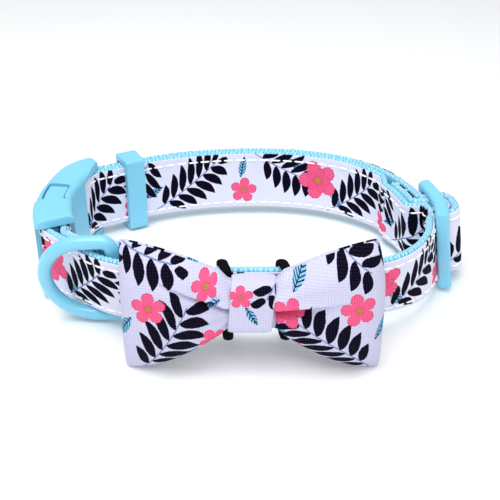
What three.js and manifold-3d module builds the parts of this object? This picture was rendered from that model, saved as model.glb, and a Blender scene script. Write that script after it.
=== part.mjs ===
import * as THREE from 'three';
import { mergeVertices } from 'three/addons/utils/BufferGeometryUtils.js';
import Module from 'manifold-3d';

const wasm = await Module();
wasm.setup();

// Pet bow tie collar, fastened, standing on its lower edge with the bow at the front.
// Millimetres, +Z up, the bow faces -Y.

// Strap: woven webbing with a printed ribbon sewn on one face
const STRAP_WIDTH = 20;
const WEBBING_THICKNESS = 1.9;
const RIBBON_WIDTH = 19.2;
const RIBBON_THICKNESS = 0.35;
const RIBBON_GAP = 0.1;
const CLEARANCE = 0.3;

// Loop: plan size of the strap's inner face, and how far its front leans and lifts
const LOOP_WIDTH = 108;
const LOOP_DEPTH = 78;
const FRONT_LEAN = 18;
const FRONT_LIFT = 5.2;

// Side-release buckle at the left, bar to bar
const BUCKLE_AT = 0.219;
const BUCKLE_REACH = 29.8;
const BUCKLE_THICKNESS = 10.4;
const BUCKLE_RAIL = 2.5;
const BUCKLE_BAR = 3;
const BUCKLE_EDGE = 2.2;
const BUCKLE_EASE = 1;
const SOCKET_LENGTH = 15.2;
const SOCKET_WALL = 1.7;
const SOCKET_RAIL_END = 9;
const SOCKET_RAIL_TIP = 4.2;
const PRONG_THICKNESS = 11.4;
const PRONG_RAIL_END = 3.6;
const PRONG_GAP = 2;
const PRONG_EDGE = 0.7;
const ARM_WIDTH = 2.4;
const ARM_THICKNESS = 6;
const BUTTON_LENGTH = 9;
const BUTTON_EASE = 1.2;
const NOTCH_DEPTH = 2;
const NOTCH_EDGE = 0.8;
const TONGUE_WIDTH = 5;
const TONGUE_THICKNESS = 2.2;

// Keeper: fixed loop round both layers, just behind the buckle
const KEEPER_LENGTH = 6.5;
const KEEPER_WALL = 1.8;
const KEEPER_FROM_BAR = 20;
const KEEPER_EDGE = 1;
const KEEPER_EASE = 0.4;

// Slider: three bars and two slots, at the right
const SLIDER_AT = 0.243;
const SLIDER_THICKNESS = 3.8;
const CENTRE_BAR_THICKNESS = 2.4;
const SLIDER_RAIL = 1.8;
const SLIDER_END_BAR = 3;
const SLIDER_CENTRE_BAR = 2.2;
const SLIDER_SLOT = 6.8;
const SLIDER_TAIL = 18;
const SLIDER_EDGE = 1.1;
const SLIDER_EASE = 0.8;

// Ring for the lead, its bar held between the doubled strap
const RING_WIRE = 3.8;
const RING_INNER_WIDTH = 21.4;
const RING_SIDE = 7.3;
const RING_CORNER = 2.3;
const RING_SWING = 24;
const RING_FROM_BAR = 28.6;
const RING_TAIL = 10;
const RING_LEAD = 4.8;

// Bow: cloth ring pinched by a knot, held by two elastic loops
const CLOTH_WALL = 1.5;
const BOW_LEFT = 32;
const BOW_RIGHT = 32.6;
const BOW_TOP = 16;
const BOW_BOTTOM = 18.6;
const BOW_SWEEP = 2;
const BOW_TILT = 3.4;
const BOW_PUFF_FRONT = 4;
const BOW_PUFF_BACK = 2.2;
const PLEAT_DEPTH = 2.6;
const BOW_LEFT_INSET = 2.2;
const BOW_RIGHT_INSET = 3.4;
const BOW_LOW_INSET = 1;
const KNOT_WIDTH = 10.2;
const KNOT_HEIGHT = 15.2;
const KNOT_DEPTH = 7.8;
const KNOT_WALL = 1.5;
const KNOT_SKEW = 0.5;
const KNOT_RADIUS = 2.6;
const KNOT_CROWN = 0.05;
const ELASTIC_WIDTH = 2.6;
const ELASTIC_THICKNESS = 1.4;
const ELASTIC_RADIUS = 0.4;
const ELASTIC_LEFT = 6.6;
const ELASTIC_RIGHT = 8;

// Plan of the loop, anticlockwise from the bow. x and y are shares of half the
// loop's width and depth, lift and lean are shares of the front's lift and lean.
const LOOP = [
  { x: 0.05, y: -0.997, lift: 1, lean: 1 },
  { x: 0.285, y: -0.985, lift: 0.97, lean: 1 },
  { x: 0.513, y: -0.928, lift: 0.86, lean: 0.92 },
  { x: 0.722, y: -0.803, lift: 0.6, lean: 0.66 },
  { x: 0.883, y: -0.59, lift: 0.28, lean: 0.05 },
  { x: 0.98, y: -0.308, lift: 0.05, lean: -0.42 },
  { x: 0.998, y: 0, lift: 0, lean: -0.46 },
  { x: 0.939, y: 0.323, lift: 0, lean: -0.42 },
  { x: 0.806, y: 0.61, lift: 0, lean: -0.2 },
  { x: 0.624, y: 0.82, lift: 0, lean: 0 },
  { x: 0.411, y: 0.944, lift: 0, lean: 0 },
  { x: 0.18, y: 0.997, lift: 0, lean: 0 },
  { x: -0.061, y: 0.995, lift: 0, lean: 0 },
  { x: -0.293, y: 0.949, lift: 0, lean: 0 },
  { x: -0.515, y: 0.856, lift: 0, lean: 0 },
  { x: -0.728, y: 0.71, lift: 0, lean: 0 },
  { x: -0.932, y: 0.526, lift: 0, lean: 0 },
  { x: -1.002, y: 0.205, lift: 0, lean: 0 },
  { x: -1.008, y: -0.103, lift: 0, lean: 0 },
  { x: -0.946, y: -0.4, lift: 0.02, lean: 0.02 },
  { x: -0.806, y: -0.633, lift: 0.42, lean: 0.4 },
  { x: -0.626, y: -0.82, lift: 0.5, lean: 0.62 },
  { x: -0.413, y: -0.933, lift: 0.78, lean: 0.9 },
  { x: -0.185, y: -0.985, lift: 0.95, lean: 0.99 },
];

// Smooth closed curve through one column of the loop table, and its slope
function column(name, t) {
  const i = Math.floor(t);
  const f = t - i;
  const at = (k) => LOOP[(((i + k) % LOOP.length) + LOOP.length) % LOOP.length][name];
  const [a, b, c, d] = [at(-1), at(0), at(1), at(2)];
  const value = b + 0.5 * f * (c - a + f * (2 * a - 5 * b + 4 * c - d + f * (3 * (b - c) + d - a)));
  const slope = 0.5 * (c - a + f * (2 * (2 * a - 5 * b + 4 * c - d) + f * 3 * (3 * (b - c) + d - a)));
  return { value, slope };
}

const planX = (t) => (column('x', t).value * LOOP_WIDTH) / 2;
const planY = (t) => (column('y', t).value * LOOP_DEPTH) / 2;

// Length along the plan at fine steps, to find the place at a given length
const STEPS_PER_ROW = 40;
const lengths = [0];
for (let i = 1; i <= LOOP.length * STEPS_PER_ROW; i++) {
  const before = (i - 1) / STEPS_PER_ROW;
  const now = i / STEPS_PER_ROW;
  lengths.push(lengths[i - 1] + Math.hypot(planX(now) - planX(before), planY(now) - planY(before)));
}
const LOOP_LENGTH = lengths[lengths.length - 1];

function rowAt(s) {
  const wrapped = ((s % LOOP_LENGTH) + LOOP_LENGTH) % LOOP_LENGTH;
  let low = 0;
  let high = lengths.length - 1;
  while (high - low > 1) {
    const middle = (low + high) >> 1;
    if (lengths[middle] <= wrapped) low = middle;
    else high = middle;
  }
  return (low + (wrapped - lengths[low]) / (lengths[high] - lengths[low])) / STEPS_PER_ROW;
}

// Local axes of the strap at length s: along it, outward, and across its width
function frameAt(s, uprightAt = s) {
  const t = rowAt(s);
  const u = rowAt(uprightAt);
  const tangent = new THREE.Vector3(
    column('x', t).slope * LOOP_WIDTH, column('y', t).slope * LOOP_DEPTH, 0).normalize();
  const out = new THREE.Vector3(tangent.y, -tangent.x, 0);
  const up = new THREE.Vector3(0, 0, 1);
  const lean = THREE.MathUtils.degToRad(column('lean', u).value * FRONT_LEAN);
  const across = out.clone().multiplyScalar(Math.sin(lean)).addScaledVector(up, Math.cos(lean));
  const outward = out.clone().multiplyScalar(Math.cos(lean)).addScaledVector(up, -Math.sin(lean));
  const height = column('lift', u).value * FRONT_LIFT + (STRAP_WIDTH / 2) * Math.cos(lean);
  return { centre: new THREE.Vector3(planX(t), planY(t), height), tangent, outward, across };
}

// Point at length s, o outward of the outer layer's inner face and w above the middle
function place(s, o, w, uprightAt = s) {
  const frame = frameAt(s, uprightAt);
  return frame.centre.addScaledVector(frame.outward, o).addScaledVector(frame.across, w);
}

// Closed solid through a row of equal rings of points; an open row gets flat ends.
// The faces whose numbers are in crossed are split along their other diagonal.
function loft(rings, closed = false, crossed = []) {
  const n = rings[0].length;
  const points = rings.flat();
  const index = [];
  const last = closed ? rings.length : rings.length - 1;
  for (let i = 0; i < last; i++) {
    const a = i * n;
    const b = ((i + 1) % rings.length) * n;
    for (let j = 0; j < n; j++) {
      const k = (j + 1) % n;
      if (crossed.includes(j)) index.push(a + j, b + j, a + k, b + j, b + k, a + k);
      else index.push(a + j, b + j, b + k, a + j, b + k, a + k);
    }
  }
  if (!closed) {
    const end = (rings.length - 1) * n;
    for (let j = 1; j < n - 1; j++) {
      index.push(0, j, j + 1, end, end + j + 1, end + j);
    }
  }
  let volume = 0;
  for (let i = 0; i < index.length; i += 3) {
    const [a, b, c] = [points[index[i]], points[index[i + 1]], points[index[i + 2]]];
    volume += a.dot(b.clone().cross(c));
  }
  if (volume < 0) index.reverse();
  const geometry = new THREE.BufferGeometry();
  geometry.setAttribute('position', new THREE.Float32BufferAttribute(points.flatMap((p) => p.toArray()), 3));
  geometry.setIndex(index);
  return geometry;
}

function toSolid(geometry) {
  const merged = mergeVertices(geometry, 1e-4);
  const mesh = new wasm.Mesh({
    numProp: 3,
    vertProperties: new Float32Array(merged.attributes.position.array),
    triVerts: new Uint32Array(merged.index.array),
  });
  return new wasm.Manifold(mesh);
}

function toGeometry(solid) {
  const mesh = solid.getMesh();
  const geometry = new THREE.BufferGeometry();
  geometry.setAttribute('position', new THREE.Float32BufferAttribute(mesh.vertProperties, 3));
  geometry.setIndex([...mesh.triVerts]);
  return geometry;
}

// Rounded rectangle of points in (o, w), radius r, with a few points on each corner
function roundedRectangle(o0, o1, w0, w1, r, steps = 3) {
  const corners = [
    { o: o1 - r, w: w1 - r, turn: 0 },
    { o: o0 + r, w: w1 - r, turn: 1 },
    { o: o0 + r, w: w0 + r, turn: 2 },
    { o: o1 - r, w: w0 + r, turn: 3 },
  ];
  return corners.flatMap((corner) => Array.from({ length: steps + 1 }, (_, i) => {
    const angle = (corner.turn + i / steps) * (Math.PI / 2);
    return { o: corner.o + r * Math.cos(angle), w: corner.w + r * Math.sin(angle) };
  }));
}

// Block that follows the loop from s0 to s1, with rounded long edges and eased ends
const BLOCK_STEP = 3.2;
const SHARP = 0.01;
const FIRST_EASE = 0.3;
function block({ s0, s1, o0, o1, w0, w1, r = SHARP, ease = 0, uprightAt }) {
  const count = Math.max(2, Math.ceil((s1 - s0 - 2 * ease) / BLOCK_STEP) + 1);
  const stations = Array.from({ length: count }, (_, i) => (
    { s: s0 + ease + ((s1 - s0 - 2 * ease) * i) / (count - 1), inset: 0 }));
  if (ease > 0) {
    stations.unshift({ s: s0, inset: ease }, { s: s0 + ease * FIRST_EASE, inset: ease * FIRST_EASE });
    stations.push({ s: s1 - ease * FIRST_EASE, inset: ease * FIRST_EASE }, { s: s1, inset: ease });
  }
  return loft(stations.map(({ s, inset }) => (
    roundedRectangle(o0 + inset, o1 - inset, w0 + inset, w1 - inset, r)
      .map(({ o, w }) => place(s, o, w, uprightAt)))));
}

// Bar across the strap: a round rod along w
const ROD_SIDES = 16;
function rod(s, o, radius, w0, w1, uprightAt) {
  const ring = (w) => Array.from({ length: ROD_SIDES }, (_, i) => {
    const angle = (2 * Math.PI * i) / ROD_SIDES;
    return place(s + radius * Math.cos(angle), o + radius * Math.sin(angle), w, uprightAt);
  });
  return loft([ring(w0), ring(w1)]);
}

// Places along the loop, from the bow: negative to the left, positive to the right
const SLIDER_S = SLIDER_AT * LOOP_LENGTH;
const MALE_BAR_S = -BUCKLE_AT * LOOP_LENGTH;
const FEMALE_BAR_S = LOOP_LENGTH + MALE_BAR_S - BUCKLE_REACH;
const KEEPER_S = FEMALE_BAR_S - KEEPER_FROM_BAR;
const RING_S = MALE_BAR_S + RING_FROM_BAR;

// Offsets of the webbing's middle line from the outer layer's inner face
const HALF_WEBBING = WEBBING_THICKNESS / 2;
const TO_PRINT = HALF_WEBBING + RIBBON_GAP + RIBBON_THICKNESS;
const BACK_TO_BACK = 2 * HALF_WEBBING + CLEARANCE;
const PRINT_TO_BACK = TO_PRINT + CLEARANCE + HALF_WEBBING;
const OUTER = HALF_WEBBING;
const INNER = OUTER - BACK_TO_BACK;
const TAIL = OUTER - PRINT_TO_BACK;
const INNER_OF_THREE = TAIL - BACK_TO_BACK;
const HALF_STRAP = STRAP_WIDTH / 2;

// Buckle bars stand midway between the two layers
const BAR_O = (OUTER + INNER) / 2;
const FOLD = BUCKLE_BAR / 2 + CLEARANCE + HALF_WEBBING;
const RING_O = -CLEARANCE - RING_WIRE / 2;
const ROUND_RING = RING_O - RING_WIRE / 2 - CLEARANCE - HALF_WEBBING;

// Slider plate lies outside the outer layer where it passes behind the end bars
const PLATE_O = OUTER + TO_PRINT + CLEARANCE;
const ROUND_BAR = CLEARANCE + HALF_WEBBING;
const UNDER_CENTRE = PLATE_O - ROUND_BAR;
const OVER_CENTRE = PLATE_O + CENTRE_BAR_THICKNESS + ROUND_BAR;
const OVER_ALL = OVER_CENTRE + PRINT_TO_BACK;
const HALF_CENTRE_BAR = SLIDER_CENTRE_BAR / 2;

// Route of the strap in (s, o), with the radius of each bend. The layers go through
// the slots side by side on a steep slope; SLANT is its run for each unit of drop.
const SLANT = 0.2867;
const SLANT_WIDENING = Math.hypot(1, SLANT);
const FOLD_LEAD = 7.5;
const SOFT_BEND = 3;
const TIGHT_BEND = 1.8;
const TAIL_RISE = 4.5;
const TAIL_SPARE = 1.5;

function slantTurn(distance) {
  return distance * SLANT_WIDENING - distance * SLANT;
}

const tailTurn = HALF_CENTRE_BAR + slantTurn(ROUND_BAR);
const tailSlope = (o) => SLIDER_S + tailTurn + (OVER_CENTRE - o) * SLANT;
const outerSlope = (o) => tailSlope(o) + PRINT_TO_BACK * SLANT_WIDENING;
const innerSlope = (o) => tailSlope(o) - BACK_TO_BACK * SLANT_WIDENING;
const wrapEdge = HALF_CENTRE_BAR + ROUND_BAR;
const nearTurn = HALF_CENTRE_BAR + slantTurn(ROUND_BAR + PRINT_TO_BACK);
const nearSlope = (o) => SLIDER_S - nearTurn - (OVER_ALL - o) * SLANT;

const ROUTE = [
  { s: RING_S + RING_TAIL, o: INNER },
  { s: RING_S + RING_WIRE / 2 + RING_LEAD, o: INNER, bend: SOFT_BEND },
  { s: RING_S + RING_WIRE / 2, o: ROUND_RING, bend: TIGHT_BEND },
  { s: RING_S - RING_WIRE / 2, o: ROUND_RING, bend: TIGHT_BEND },
  { s: RING_S - RING_WIRE / 2 - RING_LEAD, o: INNER, bend: SOFT_BEND },
  { s: MALE_BAR_S + FOLD_LEAD, o: INNER, bend: SOFT_BEND },
  { s: MALE_BAR_S + CLEARANCE, o: BAR_O - FOLD, bend: TIGHT_BEND },
  { s: MALE_BAR_S - FOLD, o: BAR_O - FOLD, bend: FOLD },
  { s: MALE_BAR_S - FOLD, o: BAR_O + FOLD, bend: FOLD },
  { s: MALE_BAR_S + CLEARANCE, o: BAR_O + FOLD, bend: TIGHT_BEND },
  { s: MALE_BAR_S + FOLD_LEAD, o: OUTER, bend: SOFT_BEND },
  { s: nearSlope(OUTER), o: OUTER, bend: TIGHT_BEND },
  { s: nearSlope(OVER_ALL), o: OVER_ALL, bend: SOFT_BEND },
  { s: outerSlope(OVER_ALL), o: OVER_ALL, bend: SOFT_BEND },
  { s: outerSlope(OUTER), o: OUTER, bend: TIGHT_BEND },
  { s: FEMALE_BAR_S - FOLD_LEAD, o: OUTER, bend: SOFT_BEND },
  { s: FEMALE_BAR_S - CLEARANCE, o: BAR_O + FOLD, bend: TIGHT_BEND },
  { s: FEMALE_BAR_S + FOLD, o: BAR_O + FOLD, bend: FOLD },
  { s: FEMALE_BAR_S + FOLD, o: BAR_O - FOLD, bend: FOLD },
  { s: FEMALE_BAR_S - CLEARANCE, o: BAR_O - FOLD, bend: TIGHT_BEND },
  { s: FEMALE_BAR_S - FOLD_LEAD, o: INNER, bend: SOFT_BEND },
  { s: SLIDER_S + SLIDER_TAIL + TAIL_SPARE + TAIL_RISE, o: INNER, bend: SOFT_BEND },
  { s: SLIDER_S + SLIDER_TAIL + TAIL_SPARE, o: INNER_OF_THREE, bend: SOFT_BEND },
  { s: innerSlope(INNER_OF_THREE), o: INNER_OF_THREE, bend: TIGHT_BEND },
  { s: innerSlope(UNDER_CENTRE), o: UNDER_CENTRE, bend: ROUND_BAR },
  { s: SLIDER_S - wrapEdge, o: UNDER_CENTRE, bend: ROUND_BAR },
  { s: SLIDER_S - wrapEdge, o: OVER_CENTRE, bend: ROUND_BAR },
  { s: tailSlope(OVER_CENTRE), o: OVER_CENTRE, bend: ROUND_BAR },
  { s: tailSlope(TAIL), o: TAIL, bend: TIGHT_BEND },
  { s: SLIDER_S + SLIDER_TAIL, o: TAIL },
];

// Turns the corners of a route into arcs and cuts its straight runs into steps
const RUN_STEP = 3.4;
const ARC_STEP = 24;
const SHORTEST_STEP = 0.02;
function roundedRoute(corners) {
  const points = [new THREE.Vector2(corners[0].s, corners[0].o)];
  for (let i = 1; i < corners.length; i++) {
    const here = new THREE.Vector2(corners[i].s, corners[i].o);
    const before = new THREE.Vector2(corners[i - 1].s, corners[i - 1].o);
    const into = here.clone().sub(before).normalize();
    let arc = [here];
    if (i < corners.length - 1) {
      const after = new THREE.Vector2(corners[i + 1].s, corners[i + 1].o);
      const away = after.clone().sub(here).normalize();
      const turn = Math.atan2(into.cross(away), into.dot(away));
      const reach = corners[i].bend * Math.tan(Math.abs(turn) / 2);
      const start = here.clone().addScaledVector(into, -reach);
      const side = new THREE.Vector2(-into.y, into.x).multiplyScalar(Math.sign(turn));
      const centre = start.clone().addScaledVector(side, corners[i].bend);
      const count = Math.max(1, Math.ceil(THREE.MathUtils.radToDeg(Math.abs(turn)) / ARC_STEP));
      arc = Array.from({ length: count + 1 }, (_, k) => (
        start.clone().rotateAround(centre, (turn * k) / count)));
    }
    const from = points[points.length - 1];
    const gap = arc[0].distanceTo(from);
    const runs = Math.ceil(gap / RUN_STEP);
    for (let k = 1; k < runs; k++) points.push(from.clone().lerp(arc[0], k / runs));
    for (const point of arc) {
      if (point.distanceTo(points[points.length - 1]) > SHORTEST_STEP) points.push(point);
    }
  }
  return points;
}

// Strip that follows the route, between two distances to the printed side
function strip(route, low, high, width) {
  const rings = route.map((point, i) => {
    const before = route[Math.max(0, i - 1)];
    const after = route[Math.min(route.length - 1, i + 1)];
    const into = point.clone().sub(before).normalize();
    const away = after.clone().sub(point).normalize();
    if (i === 0) into.copy(away);
    if (i === route.length - 1) away.copy(into);
    const side = new THREE.Vector2(-(into.y + away.y), into.x + away.x).normalize();
    const mitre = 1 / side.dot(new THREE.Vector2(-into.y, into.x));
    const corner = (distance, w) => {
      const at = point.clone().addScaledVector(side, distance * mitre);
      return place(at.x, at.y, w);
    };
    const half = width / 2;
    return [corner(low, -half), corner(high, -half), corner(high, half), corner(low, half)];
  });
  const backFace = 3;
  return loft(rings, false, [backFace]);
}

const strapRoute = roundedRoute(ROUTE);

function webbingGeometry() {
  return strip(strapRoute, -HALF_WEBBING, HALF_WEBBING, STRAP_WIDTH);
}

function ribbonGeometry() {
  return strip(strapRoute, HALF_WEBBING + RIBBON_GAP, TO_PRINT, RIBBON_WIDTH);
}

// Socket half: hollow body, two side notches, two rails and the bar the strap folds round.
// The rails taper from the inside towards their ends.
const BUCKLE_HALF_HEIGHT = HALF_STRAP + CLEARANCE + BUCKLE_RAIL;
const FOLD_REACH = FOLD + TO_PRINT + CLEARANCE;
const SOCKET_S = FEMALE_BAR_S + FOLD_REACH;
const MOUTH_S = SOCKET_S + SOCKET_LENGTH;
const BUCKLE_UPRIGHT = (FEMALE_BAR_S + LOOP_LENGTH + MALE_BAR_S) / 2;
const HALF_BUCKLE = BUCKLE_THICKNESS / 2;
const CUT_PAST = 1;
const buckleBlock = (size) => toSolid(block({ ...size, uprightAt: BUCKLE_UPRIGHT }));
const aroundBuckle = (half) => ({ o0: BAR_O - half, o1: BAR_O + half });
const acrossStrap = { w0: -HALF_STRAP - CLEARANCE, w1: HALF_STRAP + CLEARANCE };
const buckleBar = (s) => toSolid(rod(s, BAR_O, BUCKLE_BAR / 2,
  -HALF_STRAP - BUCKLE_RAIL / 2, HALF_STRAP + BUCKLE_RAIL / 2, BUCKLE_UPRIGHT));

function socketGeometry() {
  const railEnd = FEMALE_BAR_S - SOCKET_RAIL_END;
  const body = buckleBlock({
    s0: railEnd, s1: MOUTH_S, ...aroundBuckle(HALF_BUCKLE),
    w0: -BUCKLE_HALF_HEIGHT, w1: BUCKLE_HALF_HEIGHT, r: BUCKLE_EDGE, ease: BUCKLE_EASE,
  });
  const strapSpace = buckleBlock({
    s0: railEnd - CUT_PAST, s1: SOCKET_S, ...aroundBuckle(HALF_BUCKLE + CUT_PAST), ...acrossStrap,
  });
  const hollow = buckleBlock({
    s0: SOCKET_S + SOCKET_WALL, s1: MOUTH_S + CUT_PAST, ...aroundBuckle(HALF_BUCKLE - SOCKET_WALL),
    w0: -HALF_STRAP + CLEARANCE, w1: HALF_STRAP - CLEARANCE, r: NOTCH_EDGE,
  });
  const notches = [-1, 1].map((side) => {
    const near = side * (HALF_STRAP - NOTCH_DEPTH);
    const far = side * (BUCKLE_HALF_HEIGHT + CUT_PAST);
    return buckleBlock({
      s0: MOUTH_S - BUTTON_LENGTH, s1: MOUTH_S + 2 * BUTTON_EASE,
      ...aroundBuckle(ARM_THICKNESS / 2 + CLEARANCE),
      w0: Math.min(near, far), w1: Math.max(near, far), r: NOTCH_EDGE, ease: BUTTON_EASE,
    });
  });
  const taperEdge = [
    { s: SOCKET_S, o: BAR_O - HALF_BUCKLE - CUT_PAST },
    { s: SOCKET_S, o: BAR_O - HALF_BUCKLE },
    { s: railEnd - CUT_PAST, o: BAR_O + HALF_BUCKLE - SOCKET_RAIL_TIP },
    { s: railEnd - CUT_PAST, o: BAR_O - HALF_BUCKLE - CUT_PAST },
  ];
  const taper = toSolid(loft([-1, 1].map((side) => taperEdge.map(({ s, o }) => (
    place(s, o, side * (BUCKLE_HALF_HEIGHT + CUT_PAST), BUCKLE_UPRIGHT))))));
  const shell = body.subtract(strapSpace).subtract(hollow).subtract(taper);
  return toGeometry(shell.subtract(notches[0]).subtract(notches[1]).add(buckleBar(FEMALE_BAR_S)));
}

// Prong half: shoulder, bar on two rails, two sprung arms with buttons, and a tongue
const SHOULDER_S = MOUTH_S + CLEARANCE;
const PRONG_BAR_S = LOOP_LENGTH + MALE_BAR_S;
const PRONG_REACH = SOCKET_LENGTH - SOCKET_WALL - PRONG_GAP;

function prongGeometry() {
  const body = buckleBlock({
    s0: SHOULDER_S, s1: PRONG_BAR_S + PRONG_RAIL_END, ...aroundBuckle(PRONG_THICKNESS / 2),
    w0: -BUCKLE_HALF_HEIGHT, w1: BUCKLE_HALF_HEIGHT, r: BUCKLE_EDGE, ease: BUCKLE_EASE,
  });
  const strapSpace = buckleBlock({
    s0: PRONG_BAR_S - FOLD_REACH, s1: PRONG_BAR_S + PRONG_RAIL_END + CUT_PAST,
    ...aroundBuckle(PRONG_THICKNESS / 2 + CUT_PAST), ...acrossStrap,
  });
  const ends = { r: PRONG_EDGE, ease: PRONG_EDGE };
  const armOut = HALF_STRAP - 2 * CLEARANCE;
  const armIn = armOut - ARM_WIDTH;
  let prong = body.subtract(strapSpace).add(buckleBar(PRONG_BAR_S));
  for (const side of [-1, 1]) {
    const span = (near, far) => (side > 0 ? { w0: near, w1: far } : { w0: -far, w1: -near });
    const arm = buckleBlock({
      s0: SHOULDER_S - PRONG_REACH, s1: SHOULDER_S + CUT_PAST, ...aroundBuckle(ARM_THICKNESS / 2),
      ...span(armIn, armOut), ...ends,
    });
    const button = buckleBlock({
      s0: MOUTH_S - BUTTON_LENGTH + CLEARANCE, s1: SHOULDER_S + CUT_PAST,
      ...aroundBuckle(ARM_THICKNESS / 2), ...span(armIn, BUCKLE_HALF_HEIGHT - CLEARANCE),
      r: PRONG_EDGE, ease: BUTTON_EASE,
    });
    prong = prong.add(arm).add(button);
  }
  const tongue = buckleBlock({
    s0: SHOULDER_S - PRONG_REACH, s1: SHOULDER_S + CUT_PAST, ...aroundBuckle(TONGUE_THICKNESS / 2),
    w0: -TONGUE_WIDTH / 2, w1: TONGUE_WIDTH / 2, ...ends,
  });
  return toGeometry(prong.add(tongue));
}

// Keeper: rectangular loop with room for both layers, print faces included
const HALF_KEEPER = HALF_STRAP + CLEARANCE + KEEPER_WALL;
function keeperGeometry() {
  const inside = { o0: INNER - TO_PRINT - CLEARANCE, o1: OUTER + TO_PRINT + CLEARANCE };
  const outside = toSolid(block({
    s0: KEEPER_S - KEEPER_LENGTH / 2, s1: KEEPER_S + KEEPER_LENGTH / 2,
    o0: inside.o0 - KEEPER_WALL, o1: inside.o1 + KEEPER_WALL,
    w0: -HALF_KEEPER, w1: HALF_KEEPER, r: KEEPER_EDGE, ease: KEEPER_EASE, uprightAt: KEEPER_S,
  }));
  const space = toSolid(block({
    s0: KEEPER_S - KEEPER_LENGTH, s1: KEEPER_S + KEEPER_LENGTH, ...inside, ...acrossStrap,
    uprightAt: KEEPER_S,
  }));
  return toGeometry(outside.subtract(space));
}

// Slider: rounded plate with two slots and a thinner centre bar
function sliderGeometry() {
  const halfLength = HALF_CENTRE_BAR + SLIDER_SLOT + SLIDER_END_BAR;
  const halfHeight = HALF_STRAP + CLEARANCE + SLIDER_RAIL;
  const sliderBlock = (size) => toSolid(block({ ...size, uprightAt: SLIDER_S }));
  const plate = sliderBlock({
    s0: SLIDER_S - halfLength, s1: SLIDER_S + halfLength, o0: PLATE_O, o1: PLATE_O + SLIDER_THICKNESS,
    w0: -halfHeight, w1: halfHeight, r: SLIDER_EDGE, ease: SLIDER_EASE,
  });
  const overCentre = sliderBlock({
    s0: SLIDER_S - HALF_CENTRE_BAR - SLIDER_SLOT / 2, s1: SLIDER_S + HALF_CENTRE_BAR + SLIDER_SLOT / 2,
    o0: PLATE_O + CENTRE_BAR_THICKNESS, o1: PLATE_O + 2 * SLIDER_THICKNESS, ...acrossStrap,
  });
  const slots = [-1, 1].map((side) => {
    const near = SLIDER_S + side * HALF_CENTRE_BAR;
    const far = SLIDER_S + side * (HALF_CENTRE_BAR + SLIDER_SLOT);
    return sliderBlock({
      s0: Math.min(near, far), s1: Math.max(near, far),
      o0: PLATE_O - SLIDER_THICKNESS, o1: PLATE_O + 2 * SLIDER_THICKNESS, ...acrossStrap,
    });
  });
  return toGeometry(plate.subtract(slots[0]).subtract(slots[1]).subtract(overCentre));
}

// Ring: straight bar, two sides and a half circle of round wire, in its own plane
const RING_SIDES = 10;
const CORNER_STEPS = 3;
const ARC_STEPS = 8;
function ringGeometry() {
  const halfWidth = (RING_INNER_WIDTH + RING_WIRE) / 2;
  const at = (x, y) => new THREE.Vector3(x, y, 0);
  const corner = (step) => {
    const angle = (step / CORNER_STEPS) * (Math.PI / 2);
    return { x: RING_CORNER * (1 - Math.cos(angle)), y: halfWidth - RING_CORNER * (1 - Math.sin(angle)) };
  };
  const upper = Array.from({ length: CORNER_STEPS + 1 }, (_, i) => corner(i));
  const points = [at(0, 0), ...upper.map(({ x, y }) => at(x, y))];
  for (let i = 0; i <= ARC_STEPS; i++) {
    const angle = Math.PI * (0.5 - i / ARC_STEPS);
    points.push(at(RING_SIDE + halfWidth * Math.cos(angle), halfWidth * Math.sin(angle)));
  }
  points.push(...upper.reverse().map(({ x, y }) => at(x, -y)));
  const rings = points.map((point, i) => {
    const before = points[(i + points.length - 1) % points.length];
    const after = points[(i + 1) % points.length];
    const into = point.clone().sub(before).normalize();
    const away = after.clone().sub(point).normalize();
    const side = new THREE.Vector3(-(into.y + away.y), into.x + away.x, 0).normalize();
    const mitre = 1 / side.dot(new THREE.Vector3(-into.y, into.x, 0));
    return Array.from({ length: RING_SIDES }, (_, k) => {
      const angle = (2 * Math.PI * k) / RING_SIDES;
      const reach = (RING_WIRE / 2) * Math.cos(angle) * mitre;
      return point.clone().addScaledVector(side, reach)
        .add(new THREE.Vector3(0, 0, (RING_WIRE / 2) * Math.sin(angle)));
    });
  });
  return loft(rings, true);
}

// Bow: a ring of cloth given by its middle surface. turn goes round the ring from the
// right end by the back, and v goes up from -1 to 1. Shares count from the knot's
// middle to a wing's end: height is what is left of it where a wing leaves the knot.
const BOW_PROFILE = {
  opensOver: 0.16, topAtKnot: 0.47, bottomAtKnot: 0.45,
  puffFull: 0.62, puffLeftAtEdge: 0.25, pleatHeight: 0.32, pleatFrom: 0.4, pleatTo: 0.85,
};
const BOW_AROUND = 48;
const BOW_UP = 8;
const smooth = (from, to, x) => THREE.MathUtils.smoothstep(x, from, to);
const PINCH = KNOT_WIDTH / 2 / BOW_RIGHT;
const KNOT_BACK = OUTER + TO_PRINT + CLEARANCE;
const KNOT_ROOM = KNOT_HEIGHT / 2 - KNOT_WALL - 2 * CLEARANCE;
const SQUEEZE = KNOT_DEPTH / 2 - KNOT_WALL - 2 * CLEARANCE - CLOTH_WALL / 2;

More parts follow.
